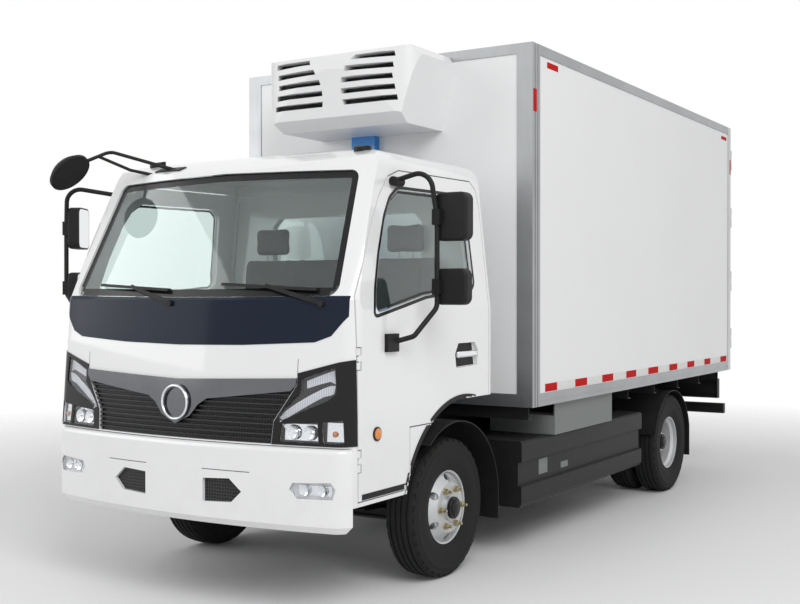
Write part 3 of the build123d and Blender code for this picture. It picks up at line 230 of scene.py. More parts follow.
chassis_black = dusty("chassis_black", (0.012, 0.012, 0.013), 0.45, (0.16, 0.15, 0.14), 0.12, 90, 0.20)
grain_black = dusty("grain_black", (0.010, 0.010, 0.011), 0.46, (0.12, 0.11, 0.10), 0.15, 900, 0.30)
gloss_black = dusty("gloss_black", (0.012, 0.012, 0.013), 0.16, (0.08, 0.08, 0.08), 0.05, 600, 0.03)
trim_grey = dusty("trim_grey", (0.20, 0.215, 0.21), 0.5, (0.30, 0.29, 0.27), 0.3, 700, 0.25)
unit_grey = dusty("unit_grey", (0.25, 0.26, 0.27), 0.45, (0.20, 0.18, 0.16), 0.4, 120, 0.15, Metallic=0.4)
seat_grey = dusty("seat_grey", (0.16, 0.16, 0.17), 0.75, (0.25, 0.24, 0.23), 0.2, 1400, 0.6)
rubber = dusty("rubber", (0.013, 0.013, 0.013), 0.75, (0.10, 0.09, 0.08), 0.20, 260, 0.25)
cowl = Finish("cowl_gloss", (0.008, 0.014, 0.030), 0.16, Specular_IOR_Level=0.10, Coat_Weight=0.05)
# Painted light: the blue-black is a touch lighter towards the truck's left, as if lit from that side.
painted_side_light = cowl.between(cowl.axis("X"), -1.0, 1.0)
cowl.set("Base Color", cowl.mix(painted_side_light, (0.006, 0.012, 0.028), (0.012, 0.018, 0.034)))
cowl_gloss = cowl.material

mesh_black = Finish("mesh_black", (0.004, 0.004, 0.005), 0.35, Specular_IOR_Level=0.3)
flat = mesh_black.node("CombineXYZ", {}, {0: mesh_black.axis("X"), 1: mesh_black.axis("Z")})
cells = mesh_black.node("TexVoronoi", {"feature": "DISTANCE_TO_EDGE", "voronoi_dimensions": "2D"},
                        {"Vector": flat, "Scale": 62.0, "Randomness": 0.25})
wire = mesh_black.between(cells, 0.10, 0.18, 1.0, 0.0)
# Painted shade: the cells between the wires are near-black, standing for the dark seen through the mesh's
# openings.
mesh_black.set("Base Color", mesh_black.mix(wire, (0.002, 0.002, 0.002), (0.045, 0.045, 0.048)))
mesh_black.bump(wire, 0.8, 0.004)
grille_mesh = mesh_black.material
print("dark finishes ready")

# %% [markdown]
# Metals. The box's edge bars are extruded aluminium, drawn along their length, so their fine lines run that
# way. The wheels are silver-painted steel, brighter and without such lines. Chrome on the grille is smoked: dark,
# and nearly a mirror. Reflectors and door pulls are bright chrome, and the wheel nuts are yellow zinc.

# %% Metals
def metal(name, color, roughness, scratch, metallic=1.0):
    """A metal with fine lines, drawn out along the axis where scratch is small."""
    finish = Finish(name, color, roughness, Metallic=metallic)
    drawn = finish.node("Mapping", {"vector_type": "POINT"}, {0: finish.coordinates(), "Scale": scratch})
    lines = finish.node("TexNoise", {}, {"Vector": drawn, "Scale": 60, "Detail": 3.0})
    cloud = finish.between(finish.noise(4, 4, 0.5), 0.3, 0.7)
    shade = tuple(0.82 * c for c in color)
    finish.set("Base Color", finish.mix(cloud * 0.6 + lines * 0.3, color, shade))
    finish.set("Roughness", roughness + lines * 0.12)
    finish.bump(lines, 0.08)
    return finish.material


alloy = metal("alloy", (0.40, 0.41, 0.42), 0.34, (1.0, 0.05, 0.05))
steel = metal("steel", (0.55, 0.56, 0.57), 0.28, (1.0, 1.0, 0.1))
wheel_silver = metal("wheel_silver", (0.62, 0.63, 0.64), 0.36, (1.0, 1.0, 1.0), 0.55)
smoked_chrome = metal("smoked_chrome", (0.16, 0.165, 0.175), 0.08, (1.0, 1.0, 1.0))
bright_chrome = metal("bright_chrome", (0.85, 0.86, 0.87), 0.05, (1.0, 1.0, 1.0))
zinc = metal("zinc", (0.52, 0.46, 0.30), 0.32, (1.0, 1.0, 1.0))
print("metals ready")

# %% [markdown]
# Glass and lamps. Window glass is faintly green and lets the cab's inside show. Lamp covers are clearer.
# Tail lamps are red plastic with fine ribs moulded inside them, which a bump of narrow waves gives. The cover
# over the cooling lines is blue plastic.

# %% Glass and lamps
def clear(name, color):
    """Glass with a little haze in patches."""
    finish = Finish(name, color, 0.0, Transmission_Weight=1.0, IOR=1.45, Specular_IOR_Level=0.5)
    finish.set("Roughness", finish.between(finish.noise(2.5, 4, 0.6), 0.45, 0.8, 0.0, 0.03))
    return finish.material


window_glass = clear("window_glass", (0.80, 0.88, 0.86))
lamp_glass = clear("lamp_glass", (0.97, 0.98, 1.0))


def ribbed(name, color):
    """Glossy coloured plastic with ribs moulded inside."""
    finish = Finish(name, color, 0.18, Coat_Weight=1.0, Coat_Roughness=0.03)
    ribs = finish.node("TexWave", {"bands_direction": "X"}, {"Vector": finish.coordinates(), "Scale": 40.0})
    finish.set("Base Color", finish.mix(ribs * 0.5, color, tuple(0.55 * c for c in color)))
    finish.bump(ribs, 0.5)
    return finish.material


lamp_red = ribbed("lamp_red", (0.50, 0.015, 0.012))
lamp_amber = ribbed("lamp_amber", (0.78, 0.24, 0.02))
line = Finish("line_blue", (0.03, 0.16, 0.42), 0.3, Coat_Weight=0.5)
line.set("Base Color", line.mix(line.noise(5, 3), (0.01, 0.20, 0.60), (0.02, 0.27, 0.72)))
line_blue = line.material
print("glass and lamps ready")

# %% [markdown]
# Each node of the model gets its finish by name. Its shape stays as it is.

# %% Dress the model's own nodes
FINISH_OF = {
    "cab_shell": cab_white, "cab_door_left": cab_white, "cab_door_right": cab_white, "front_bumper": cab_white,
    "box_floor": box_white, "box_roof": box_white, "box_front_wall": box_white, "box_wall_left": box_white,
    "box_wall_right": box_white, "rear_door_left": box_white, "rear_door_right": box_white,
    "cooling_unit": unit_white, "evaporator": unit_white, "line_cover": line_blue,
    "box_edge_rails": alloy, "rear_door_frame": steel, "lock_bar_left": steel, "lock_bar_right": steel,
    "ladder_frame": chassis_black, "body_bearers": chassis_black, "front_axle": chassis_black,
    "rear_axle": chassis_black, "leaf_springs": chassis_black, "drive_shaft": chassis_black,
    "battery_boxes": chassis_black, "rear_bumper": chassis_black, "steering_knuckle_left": chassis_black,
    "steering_knuckle_right": chassis_black, "tie_rod": chassis_black, "power_unit": unit_grey,
    "service_boxes": trim_grey, "mudguards": grain_black, "tail_lamps": lamp_red,
    "front_wheel_left": wheel_silver, "front_wheel_right": wheel_silver, "rear_wheels_left": wheel_silver,
    "rear_wheels_right": wheel_silver, "front_tyre_left": rubber, "front_tyre_right": rubber,
    "rear_tyres_left": rubber, "rear_tyres_right": rubber, "cab_glass": window_glass,
    "door_glass_left": window_glass, "door_glass_right": window_glass, "lamp_lenses": lamp_glass,
    "dashboard": grain_black, "steering_wheel": grain_black, "seats": seat_grey, "cowl_panel": cowl_gloss,
    "grille": grille_mesh, "grille_bar": smoked_chrome, "headlamps": gloss_black, "wipers": grain_black,
    "roof_lamps": grain_black, "lookdown_mirror": grain_black, "mirror_set_left": grain_black,
    "mirror_set_right": grain_black,
}
for name, node in nodes.items():
    node.data.materials.clear()
    node.data.materials.append(FINISH_OF[name])
print("dressed", len(nodes), "nodes")

# %% [markdown]
# From here on new pieces are modelled. A few helpers hold the steps that every piece needs: clear the selection,
# start from a primitive, and at the end put the piece's place into its mesh, point its faces outwards and tie it
# to the body that carries it. The truck's two sides are alike, so a piece is modelled on the left and mirrored.

# %% Modelling helpers
MERGE = 0.00002
made = []


def clear_selection():
    if bpy.context.object and bpy.context.object.mode != "OBJECT":
        bpy.ops.object.mode_set(mode="OBJECT")
    bpy.ops.object.select_all(action="DESELECT")


def only(piece):
    """Selects this piece alone and makes it active."""
    clear_selection()
    piece.select_set(True)
    bpy.context.view_layer.objects.active = piece


def edit_all(piece):
    """Opens a piece in edit mode with all of it selected."""
    only(piece)
    bpy.ops.object.mode_set(mode="EDIT")
    bpy.ops.mesh.select_all(action="SELECT")


def apply_modifier(piece, kind, **settings):
    """Adds one modifier with its settings and applies it."""
    only(piece)
    modifier = piece.modifiers.new(kind.title(), kind)
    for key, value in settings.items():
        setattr(modifier, key, value)
    bpy.ops.object.modifier_apply(modifier=modifier.name)


def finish_piece(piece, name, finish, body, replaced=(), smooth=35):
    """Names the piece, puts its place into its mesh, gives its finish and ties it to its body."""
    edit_all(piece)
    bpy.ops.mesh.remove_doubles(threshold=MERGE)
    bpy.ops.mesh.normals_make_consistent(inside=False)
    bpy.ops.object.mode_set(mode="OBJECT")
    bpy.ops.object.transform_apply(location=True, rotation=True, scale=True)
    bpy.ops.object.shade_smooth_by_angle(angle=math.radians(smooth))
    piece.name = name
    piece.data.materials.clear()
    piece.data.materials.append(finish)
    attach(piece, body)
    if replaced:
        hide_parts(*replaced)
    made.append(name)


def mirrored(piece):
    """A copy with its own mesh, on the truck's other side."""
    copy = piece.copy()
    copy.data = piece.data.copy()
    bpy.context.scene.collection.objects.link(copy)
    edit_all(copy)
    bpy.ops.transform.mirror(orient_type="GLOBAL", constraint_axis=(True, False, False),
                             center_override=(0, 0, 0))
    bpy.ops.mesh.flip_normals()
    bpy.ops.object.mode_set(mode="OBJECT")
    return copy


def joined(pieces):
    """Several pieces as one; it is the first of them that stays."""
    clear_selection()
    for piece in pieces:
        piece.select_set(True)
    bpy.context.view_layer.objects.active = pieces[0]
    bpy.ops.object.join()
    return pieces[0]


def both(piece):
    """The left piece and its mirrored copy, as one piece."""
    return joined([piece, mirrored(piece)])


def finish_pair(piece, name, finish, body, replaced=""):
    """Finishes a left piece and its mirrored copy; both names and bodies end with the side."""
    for side, copy in (("left", piece), ("right", mirrored(piece))):
        finish_piece(copy, name + side, finish, body + side, [replaced + side] if replaced else ())


print("modelling helpers ready")

# %% [markdown]
# Three ways to start a shape. A bar starts from a cube and has its edges bevelled. A turned shape starts from a
# circle whose points are put on the profile, and is spun about its axis. A plate starts from a filled circle
# whose points are put on the outline, and is extruded to its thickness.

# %% Starting shapes
def bar(low, high, bevel, segments=2):
    """A squared bar between two corners, with bevelled edges."""
    clear_selection()
    bpy.ops.mesh.primitive_cube_add(size=1, location=(place(*low) + place(*high)) / 2)
    piece = bpy.context.object
    piece.scale = [abs(b - a) / 1000 for a, b in zip(low, high)]
    bpy.ops.object.transform_apply(location=True, rotation=True, scale=True)
    edit_all(piece)
    bpy.ops.mesh.bevel(offset=bevel / 1000, segments=segments)
    bpy.ops.object.mode_set(mode="OBJECT")
    return piece


def ring_of(points, filled):
    """A circle with one vertex for each point, each put at its place."""
    clear_selection()
    bpy.ops.mesh.primitive_circle_add(vertices=len(points), fill_type="NGON" if filled else "NOTHING")
    piece = bpy.context.object
    for vertex, point in zip(piece.data.vertices, points):
        vertex.co = place(*point)
    return piece


def turned(profile, centre, steps, axis="X"):
    """A closed profile of (along, radius) points, spun about X or Y through the centre."""
    x, y, z = centre
    if axis == "X":
        points = [(x + along, y, z + radius) for along, radius in profile]
    else:
        points = [(x, y + along, z + radius) for along, radius in profile]
    piece = ring_of(points, False)
    edit_all(piece)
    direction = (1, 0, 0) if axis == "X" else (0, 1, 0)
    bpy.ops.mesh.spin(steps=steps, angle=math.tau, center=place(x, y, z), axis=direction)
    bpy.ops.mesh.select_all(action="SELECT")
    bpy.ops.mesh.remove_doubles(threshold=MERGE)
    bpy.ops.mesh.normals_make_consistent(inside=False)
    bpy.ops.object.mode_set(mode="OBJECT")
    return piece


def plate(points, depth, bevel=0.0):
    """A flat plate from its outline, extruded by a vector in millimetres."""
    piece = ring_of(points, True)
    edit_all(piece)
    bpy.ops.mesh.extrude_region_move(TRANSFORM_OT_translate={"value": [v / 1000 for v in depth]})
    bpy.ops.mesh.select_all(action="SELECT")
    if bevel:
        bpy.ops.mesh.bevel(offset=bevel / 1000, segments=2)
    bpy.ops.mesh.normals_make_consistent(inside=False)
    bpy.ops.object.mode_set(mode="OBJECT")
    return piece


print("starting shapes ready")

# %% [markdown]
# Many pieces lie on a curved panel: black borders on glass, tape, reflectors behind a lens. Measuring the curve
# again would be slow and never quite right. Instead a flat grid is laid out in front of the panel, the
# Shrinkwrap modifier presses it on along one axis, and Solidify gives it a thickness. The rows are two lines of
# points with the same count; the grid runs between them. A point that finds no panel is taken off.

# %% Skins that lie on a panel
STAYED = 1e-6


def skin(row_a, row_b, across, node, axis, proud, thick, closed=False):
    """A thin skin between two rows of points, pressed on a CAD node along an axis from outside."""
    count = len(row_a)
    clear_selection()
    bpy.ops.mesh.primitive_grid_add(x_subdivisions=count - 1, y_subdivisions=across, size=1)
    piece = bpy.context.object
    for index, vertex in enumerate(piece.data.vertices):
        line, column = divmod(index, count)
        share = line / across
        a = row_a[column]
        b = row_b[column]
        vertex.co = place(*[p + (q - p) * share for p, q in zip(a, b)])
    if closed:
        edit_all(piece)
        bpy.ops.mesh.remove_doubles(threshold=MERGE)
        bpy.ops.object.mode_set(mode="OBJECT")
    start = [vertex.co.copy() for vertex in piece.data.vertices]
    apply_modifier(piece, "SHRINKWRAP", target=nodes[node], wrap_method="PROJECT",
                   use_project_x=axis == "X", use_project_y=axis == "Y",
                   use_negative_direction=axis != "Y", use_positive_direction=axis == "Y",
                   offset=proud / 1000, wrap_mode="ABOVE_SURFACE")
    missed = [(vertex.co - old).length < STAYED for vertex, old in zip(piece.data.vertices, start)]
    if any(missed):
        edit_all(piece)
        bpy.ops.mesh.select_all(action="DESELECT")
        mesh = bmesh.from_edit_mesh(piece.data)
        for vertex, gone in zip(mesh.verts, missed):
            vertex.select = gone
        bpy.ops.mesh.delete(type="VERT")
        bpy.ops.object.mode_set(mode="OBJECT")
        print("skin on", node, "lost", sum(missed), "points past the panel's edge")
    apply_modifier(piece, "SOLIDIFY", thickness=thick / 1000, offset=0.0)
    return piece


print("panel skins ready")

# %% [markdown]
# Tyres. The model's tyre is a plain ring, so each is replaced. The section is drawn once: bead, bulging side
# wall with its rubbing ribs, rounded shoulder and a crown with four grooves. It is spun in 72 steps, and then
# every second shoulder face is pressed in, which gives the blocks of a road tread.

# %% Tyres
HALF_SECTION = [
    (70, 204), (78, 206), (80, 219), (88, 236), (95, 262), (97.5, 296), (95.5, 326), (97, 329), (97, 334),
    (94.5, 337), (91, 354), (88, 366), (83, 376), (76, 381.5), (58, 384.6), (56, 376), (48, 376), (46, 385.8),
    (22, 387.4), (20, 378), (12, 378), (10, 388),
]
section = HALF_SECTION + [(-x, r) for x, r in reversed(HALF_SECTION)]
TYRE_STEPS = 72
SHOULDER_R = (367, 383)
SHOULDER_X = 75
BLOCK_PITCH = 10
BLOCK_GAP = 5
GAP_DEPTH = 5


def make_tyre(x, y):
    """One tyre about its axle; the gaps between its shoulder blocks are pressed in."""
    tyre = turned(section, (x, y, TYRE_R), TYRE_STEPS)
    edit_all(tyre)
    mesh = bmesh.from_edit_mesh(tyre.data)
    middle = place(x, y, TYRE_R)
    for face in mesh.faces:
        offset = face.calc_center_median() - middle
        radius = math.hypot(offset.y, offset.z) * 1000
        turn = math.degrees(math.atan2(offset.z, offset.y)) % BLOCK_PITCH
        on_shoulder = SHOULDER_R[0] < radius < SHOULDER_R[1] and abs(offset.x) > SHOULDER_X / 1000
        face.select = on_shoulder and turn < BLOCK_GAP
    bpy.ops.mesh.extrude_region_shrink_fatten(TRANSFORM_OT_shrink_fatten={"value": -GAP_DEPTH / 1000})
    bpy.ops.object.mode_set(mode="OBJECT")
    return tyre


FRONT_TYRE_X = 816
REAR_TYRES_X = (943, 711)
front = make_tyre(FRONT_TYRE_X, 0)
rear = joined([make_tyre(x, WHEELBASE) for x in REAR_TYRES_X])
finish_pair(front, "front_tyre_tread_", rubber, "front_wheel_", "front_tyre_")
finish_pair(rear, "rear_tyres_tread_", rubber, "rear_wheel_", "rear_tyres_")
print("tyres made:", made[-4:])

# %% [markdown]
# Wheel nuts. Each wheel has six long studs with a washer and a nut, in yellow zinc. A rod is a cylinder laid
# from point to point; its rim gets a small bevel that leaves the round side alone. The hub gets a dark cap.

# %% Wheel nuts and hub caps
def rod(start, end, radius, vertices, bevel):
    """A round bar between two points; six vertices make a hexagon."""
    a = place(*start)
    b = place(*end)
    clear_selection()
    turn = (b - a).to_track_quat("Z", "Y").to_euler()
    bpy.ops.mesh.primitive_cylinder_add(vertices=vertices, radius=radius / 1000, depth=(b - a).length,
                                        location=(a + b) / 2, rotation=turn)
    piece = bpy.context.object
    bpy.ops.object.transform_apply(location=True, rotation=True, scale=True)
    apply_modifier(piece, "BEVEL", width=bevel / 1000, segments=2, limit_method="ANGLE",
                   angle_limit=math.radians(70))
    return piece


NUT_CIRCLE_R = 110
NUTS = 6
# Washer, nut and stud: start and end off the wheel's face, radius, vertices, bevel
NUT_PARTS = ((-1, 5, 20, 20, 1), (4, 23, 16, 6, 1.5), (20, 46, 8.5, 12, 1.5))
CAP_PROFILE = [(-2, 0), (-2, 62), (14, 60), (18, 56), (19, 44), (25, 42), (27, 38), (27, 0)]
# Name, x of the wheel's face, y, x of the hub's end
WHEELS = (("front_wheel_", 911, 0, 928), ("rear_wheel_", 827, WHEELBASE, 960))
for body, face_x, y, hub_end in WHEELS:
    parts = []
    for index in range(NUTS):
        turn = math.tau * index / NUTS
        ny = y + NUT_CIRCLE_R * math.cos(turn)
        nz = TYRE_R + NUT_CIRCLE_R * math.sin(turn)
        for start, end, radius, vertices, bevel in NUT_PARTS:
            parts.append(rod((face_x + start, ny, nz), (face_x + end, ny, nz), radius, vertices, bevel))
    nuts = joined(parts)
    cap = turned(CAP_PROFILE, (hub_end, y, TYRE_R), 40)
    finish_pair(nuts, body + "nuts_", zinc, body)
    finish_pair(cap, body + "cap_", gloss_black, body)
print("wheel fittings:", made[-8:])

# %% [markdown]
# The cooling unit's slots are openings cut in white plastic, and one sees dark louvre blades in them. A dark plate
# closes each slot near its mouth; it is painted shade, a dark sheet standing for the shadowed inside of the unit.
# Two thin blades lie before it.

# %% Louvres in the cooling unit
# z of the slot's foot, x of its inner and outer end, slant of the inner end
SLOTS = ((2985, 150, 440, 20), (2920, 105, 430, 14), (2855, 75, 425, 8), (2790, 70, 440, 0), (2725, 80, 455, -8))
SLOT_H = 32
SLOT_Y = 186
LEAN_Z = 2900
LEAN = 0.30
BLADE_RISES = (8, 19)
louvres_and_shade_plates = []
for z, inner, outer, slant in SLOTS:
    y = SLOT_Y + max(0, z - LEAN_Z) * LEAN
    low = [(inner + 1, y, z + 1), (inner + slant + 1, y, z + SLOT_H - 1), (outer - 1, y, z + SLOT_H - 1),
           (outer + 4, y, z + 1)]
    # Painted shade: a dark plate that closes the slot and stands for the shadowed inside of the unit.
    louvres_and_shade_plates.append(plate(low, (0, 10, 0)))
    for rise in BLADE_RISES:
        louvres_and_shade_plates.append(bar((inner + 4, y - 26, z + rise), (outer - 4, y + 2, z + rise + 3), 1))
finish_piece(both(joined(louvres_and_shade_plates)), "cooling_louvres", gloss_black, "chassis")
print("louvres:", len(SLOTS), "slots on each side")

# %% [markdown]
# The windscreen's edge is printed black, to hide the glue, and the side window sits in a black frame. Both are
# skins between two loops. The inner loop is the outer one moved inwards, point by point.

# %% Screen border and window frames
CORNER_STEPS = 4


def rounded_loop(points, radius, parts):
    """A closed outline with its corners rounded, in evenly counted steps."""
    loop = []
    count = len(points)
    for index, point in enumerate(points):
        corner = Vector(point)
        before = Vector(points[index - 1])
        after = Vector(points[(index + 1) % count])
        start = corner + (before - corner).normalized() * radius
        end = corner + (after - corner).normalized() * radius
        for step in range(CORNER_STEPS + 1):
            share = step / CORNER_STEPS
            loop.append(start.lerp(corner, share).lerp(corner.lerp(end, share), share))
        goal = after + (corner - after).normalized() * radius
        for step in range(1, parts):
            loop.append(end.lerp(goal, step / parts))
    return loop


def moved_in(loop, distance):
    """A loop of flat points moved inwards, square to its edges; a negative distance moves it out."""
    area = sum(a.x * b.y - b.x * a.y for a, b in zip(loop, loop[1:] + loop[:1]))
    side = 1 if area > 0 else -1
    result = []
    for index, point in enumerate(loop):
        along = (loop[(index + 1) % len(loop)] - loop[index - 1]).normalized()
        result.append(point + Vector((-along.y, along.x)) * side * distance)
    return result


def border(loop, start, width, axis, node, proud, thick, parts):
    """A black band along a loop, from start to start + width inside it, pressed on a node."""
    rows = []
    for distance in (start, start + width):
        line = moved_in(loop, distance)
        line.append(line[0])
        if axis == "Y":
            rows.append([(p.x, FRONT_Y, p.y) for p in line])
        else:
            rows.append([(SIDE_X, p.x, p.y) for p in line])
    return skin(rows[0], rows[1], parts, node, axis, proud, thick, closed=True)


FRONT_Y = -1500
SIDE_X = 1400
SCREEN = [(-905, 1566), (-832, 2204), (0, 2220), (832, 2204), (905, 1566), (0, 1558)]
screen_loop = rounded_loop(SCREEN, 55, 9)
frit = border(screen_loop, 4, 38, "Y", "cab_glass", 0.5, 0.6, 2)
finish_piece(frit, "windscreen_border", gloss_black, "cab", smooth=50)
SIDE_WINDOW = [(-868, 1478), (-846, 1600), (-790, 1770), (-705, 1965), (-640, 2060), (-560, 2112), (60, 2120),
               (112, 2080), (128, 1640), (100, 1612), (-387, 1572)]
window_loop = rounded_loop(SIDE_WINDOW, 20, 4)
outer_band = border(window_loop, -20, 17, "X", "cab_door_left", 0.6, 1.4, 2)
inner_band = border(window_loop, 4, 13, "X", "door_glass_left", 0.6, 0.8, 1)
finish_pair(joined([outer_band, inner_band]), "window_frame_", gloss_black, "cab_door_")
print("borders made")

# %% [markdown]
# Small fittings on the cab's sides: a black cup and a chrome pull for each door, and an amber lamp low on the
# front corner, with a black ring round its lens. The cup is a dark skin, because it is seen as a dark patch. The
# pull stands off the door, so it is a bar. Ring and lens are round, so they are turned.

# %% Door handles and side lamps
CUP_STEPS = 20
SIDE_LAMP = (1000, -857, 894)
cup_low = [(SIDE_X, -80 + 226 * step / CUP_STEPS, 1176 + 6 * step / CUP_STEPS) for step in range(CUP_STEPS + 1)]
cup_high = [(SIDE_X, -62 + 184 * step / CUP_STEPS, 1305) for step in range(CUP_STEPS + 1)]
cup = skin(cup_low, cup_high, 6, "cab_door_left", "X", 0.5, 1.0)
pull = bar((982, -66, 1226), (1003, 148, 1262), 8, 3)
finish_pair(cup, "handle_cup_", grain_black, "cab_door_")
finish_pair(pull, "handle_pull_", bright_chrome, "cab_door_")
ring = turned([(-3, 27), (-3, 35), (5, 35), (7, 32), (7, 28)], SIDE_LAMP, 32)
lens = turned([(-3, 0), (-3, 28), (8, 28), (13, 22), (15, 12), (15, 0)], SIDE_LAMP, 32)
finish_pair(ring, "side_lamp_ring_", gloss_black, "cab_door_")
finish_pair(lens, "side_lamp_lens_", lamp_amber, "cab_door_")
print("handles and side lamps made")

# %% [markdown]
# Reflecting tape runs along each side above the bottom rail: red blocks with white ones between. Short red
# pieces mark the box's corners. Each block is a thin plate with its edges a little rounded.

# %% Reflecting tape
RED_BLOCKS = ((842, 1016), (1292, 1486), (1742, 1940), (2185, 2382), (2631, 2848), (3099, 3289), (3537, 3717),
              (3986, 4154), (4445, 4627))
WALL_X = 1094
POST_X = 1100
TAPE_Z = (977, 1027)
TAPE_IN = 0.2
TAPE_OUT = 0.8
tape_red = Finish("tape_red", (0.58, 0.006, 0.006), 0.6, Specular_IOR_Level=0.1)
tape_red.set("Base Color", tape_red.mix(tape_red.noise(40), (0.60, 0.006, 0.005), (0.46, 0.005, 0.005)))
tape_white = Finish("tape_white", (0.74, 0.74, 0.72), 0.35)
tape_white.set("Base Color", tape_white.mix(tape_white.noise(40), (0.78, 0.78, 0.76), (0.66, 0.66, 0.64)))


def tape(y0, y1, z0, z1, x=WALL_X):
    """One block of tape on the left side."""
    return bar((x - TAPE_IN, y0, z0), (x + TAPE_OUT, y1, z1), 0.3, 1)


reds = [tape(y0, y1, *TAPE_Z) for y0, y1 in RED_BLOCKS]
whites = [tape(a[1], b[0], *TAPE_Z) for a, b in zip(RED_BLOCKS, RED_BLOCKS[1:])]
corners = [tape(868, 1028, 2968, 3006), tape(4465, 4617, 2963, 2993)]
corners += [tape(665, 712, 2677, 2814, POST_X), tape(4700, 4732, 2668, 2805, POST_X)]
finish_piece(both(joined(reds + corners)), "side_tape_red", tape_red.material, "chassis")
finish_piece(both(joined(whites)), "side_tape_white", tape_white.material, "chassis")
print("tape blocks:", len(RED_BLOCKS), "red on each side")

# %% [markdown]
# Mirror glass. Each mirror head is a black housing, so a glass plate with a rounded outline is laid on the back
# of each. The right set is turned further round its pillar, as the driver sees it.

# %% Mirror glass
def turned_point(origin, turn, x, y, z):
    """A point of a mirror head, from its own place into the truck's."""
    angle = math.radians(turn)
    return (origin[0] + x * math.cos(angle) - y * math.sin(angle),
            origin[1] + x * math.sin(angle) + y * math.cos(angle), z)


silvered = Finish("mirror_glass", (0.80, 0.82, 0.83), 0.02, Metallic=1.0)
silvered.set("Roughness", silvered.between(silvered.noise(3, 3), 0.4, 0.8, 0.02, 0.05))
# Across a head, with the housing's margin taken off; back, foot and top of the two heads, less the same margin
GLASS_X = (-19, 153)
GLASS_PLACES = ((82, 1854, 2081), (72, 1531, 1697))
GLASS_T = 1.6
for side, origin, turn, sign in (("left", (1158, -550), 0, 1), ("right", (1225, -838), 60, -1)):
    glasses = []
    for back, z0, z1 in GLASS_PLACES:
        corners = [(GLASS_X[0], z0), (GLASS_X[1], z0), (GLASS_X[1], z1), (GLASS_X[0], z1)]
        outline = rounded_loop(corners, 34, 2)
        points = []
        for point in outline:
            x, y, z = turned_point(origin, turn, point.x, back, point.y)
            points.append((x * sign, y, z))
        away = turned_point((0, 0), turn, 0, GLASS_T, 0)
        glasses.append(plate(points, (away[0] * sign, away[1], 0)))
    finish_piece(joined(glasses), "mirror_glass_" + side, silvered.material, "cab_door_" + side)
print("mirror glass made")

# %% [markdown]
# Inside each headlamp a bright strip rises outwards. It lies between the lamp's black housing and its clear cover,
# so it is a skin pressed on the housing, and narrow waves in its colour stand for the row of small lights.

# %% Headlamp insides
def front_skin(low, high, across, node, proud, thick):
    """A skin pressed on the front, between two rows of (x, z) points."""
    rows = [[(x, FRONT_Y, z) for x, z in row] for row in (low, high)]
    return skin(*rows, across, node, "Y", proud, thick)


led = Finish("led_strip", (0.85, 0.87, 0.90), 0.25, Coat_Weight=0.6)
dots = led.node("TexWave", {"bands_direction": "X"}, {"Vector": led.coordinates(), "Scale": 26.0})
led.set("Base Color", led.mix(dots, (0.88, 0.89, 0.92), (0.62, 0.64, 0.68)))
strip_low = [(640, 962), (660, 976), (720, 1012), (790, 1052), (850, 1084), (884, 1092), (902, 1100)]
strip_high = [(624, 978), (650, 1010), (712, 1052), (782, 1092), (846, 1124), (884, 1138), (910, 1140)]
strip = front_skin(strip_low, strip_high, 3, "headlamps", 6, 4)
finish_piece(both(strip), "running_lights", led.material, "cab")
print("running lights made")

# %% [markdown]
# The lamps' chambers get their fittings: a bright tray with two reflector bowls low in each headlamp, and beside
# it a tray with an amber bulb for the turn signal. A bowl is turned about the direction in which it looks.

# %% Reflectors
def lamp_mirror(x, y, z, radius, depth):
    """A reflector: a shallow bowl open to the front, with a bulb cap in its middle."""
    profile = [(0, radius), (depth * 0.6, radius * 0.72), (depth, radius * 0.3), (depth, 0),
               (depth + 3, 0), (depth + 3, radius * 0.34), (depth * 0.6 + 3, radius * 0.76), (3, radius)]
    bowl = turned(profile, (x, y, z), 32, "Y")
    cap = turned([(2, 0), (3, radius * 0.16), (8, radius * 0.22), (depth, radius * 0.22), (depth, 0)],
                 (x, y, z), 20, "Y")
    return joined([bowl, cap])


def front_strip(x0, x1, z0, z1, node, proud, thick, steps=8, across=2):
    """A skin on the front, straight from x0 to x1 between two heights."""
    rows = [[(x0 + (x1 - x0) * step / steps, z) for step in range(steps + 1)] for z in (z0, z1)]
    return front_skin(*rows, across, node, proud, thick)


def panel_y(x, z, node):
    """Where a panel lies along y at one place, in millimetres from the front axle."""
    hit, spot, normal, index = nodes[node].ray_cast(place(x, FRONT_Y, z), Vector((0, 1, 0)))
    return (spot.y - SHIFT) * 1000


tray = front_strip(652, 836, 874, 952, "headlamps", 1.0, 1.5, 6, 3)
signal = front_strip(876, 958, 874, 964, "headlamps", 3.0, 1.5, 6, 3)
finish_piece(both(tray), "headlamp_reflector_trays", bright_chrome, "cab")
finish_piece(both(signal), "turn_signal_trays", bright_chrome, "cab")
BULB_X = 917
BULB_Z = 910
BULB_PROFILE = [(-13, 0), (-12, 8), (-8, 14), (0, 16), (2, 16), (2, 0)]
bulb = turned(BULB_PROFILE, (BULB_X, panel_y(BULB_X, BULB_Z, "headlamps"), BULB_Z), 24, "Y")
finish_piece(both(bulb), "turn_signal_bulbs", lamp_amber, "cab")
BOWL_Z = 912
bowls = [lamp_mirror(x, panel_y(x, BOWL_Z, "headlamps") - 15, BOWL_Z, 36, 14) for x in (702, 790)]
finish_piece(both(joined(bowls)), "headlamp_bowls", bright_chrome, "cab")
print("reflectors made")

# %% [markdown]
# Seats. The model holds each cushion, back and head rest as a plain block. Real ones are foam in a sewn cover:
# they swell between their seams. Each starts as a bevelled block a little smaller than its place, is remeshed
# evenly, and Cloth with pressure and no gravity swells it. The swelling is capped, then the sewn channels are
# pressed in.

# %% Padded seats
PAD_VOXEL = 10
AIR_FORCE = 4
SWELL_FRAMES = 20
CHANNEL_HALF = 5.5
CHANNEL_DEPTH = 6
CHANNEL_REACH = 22


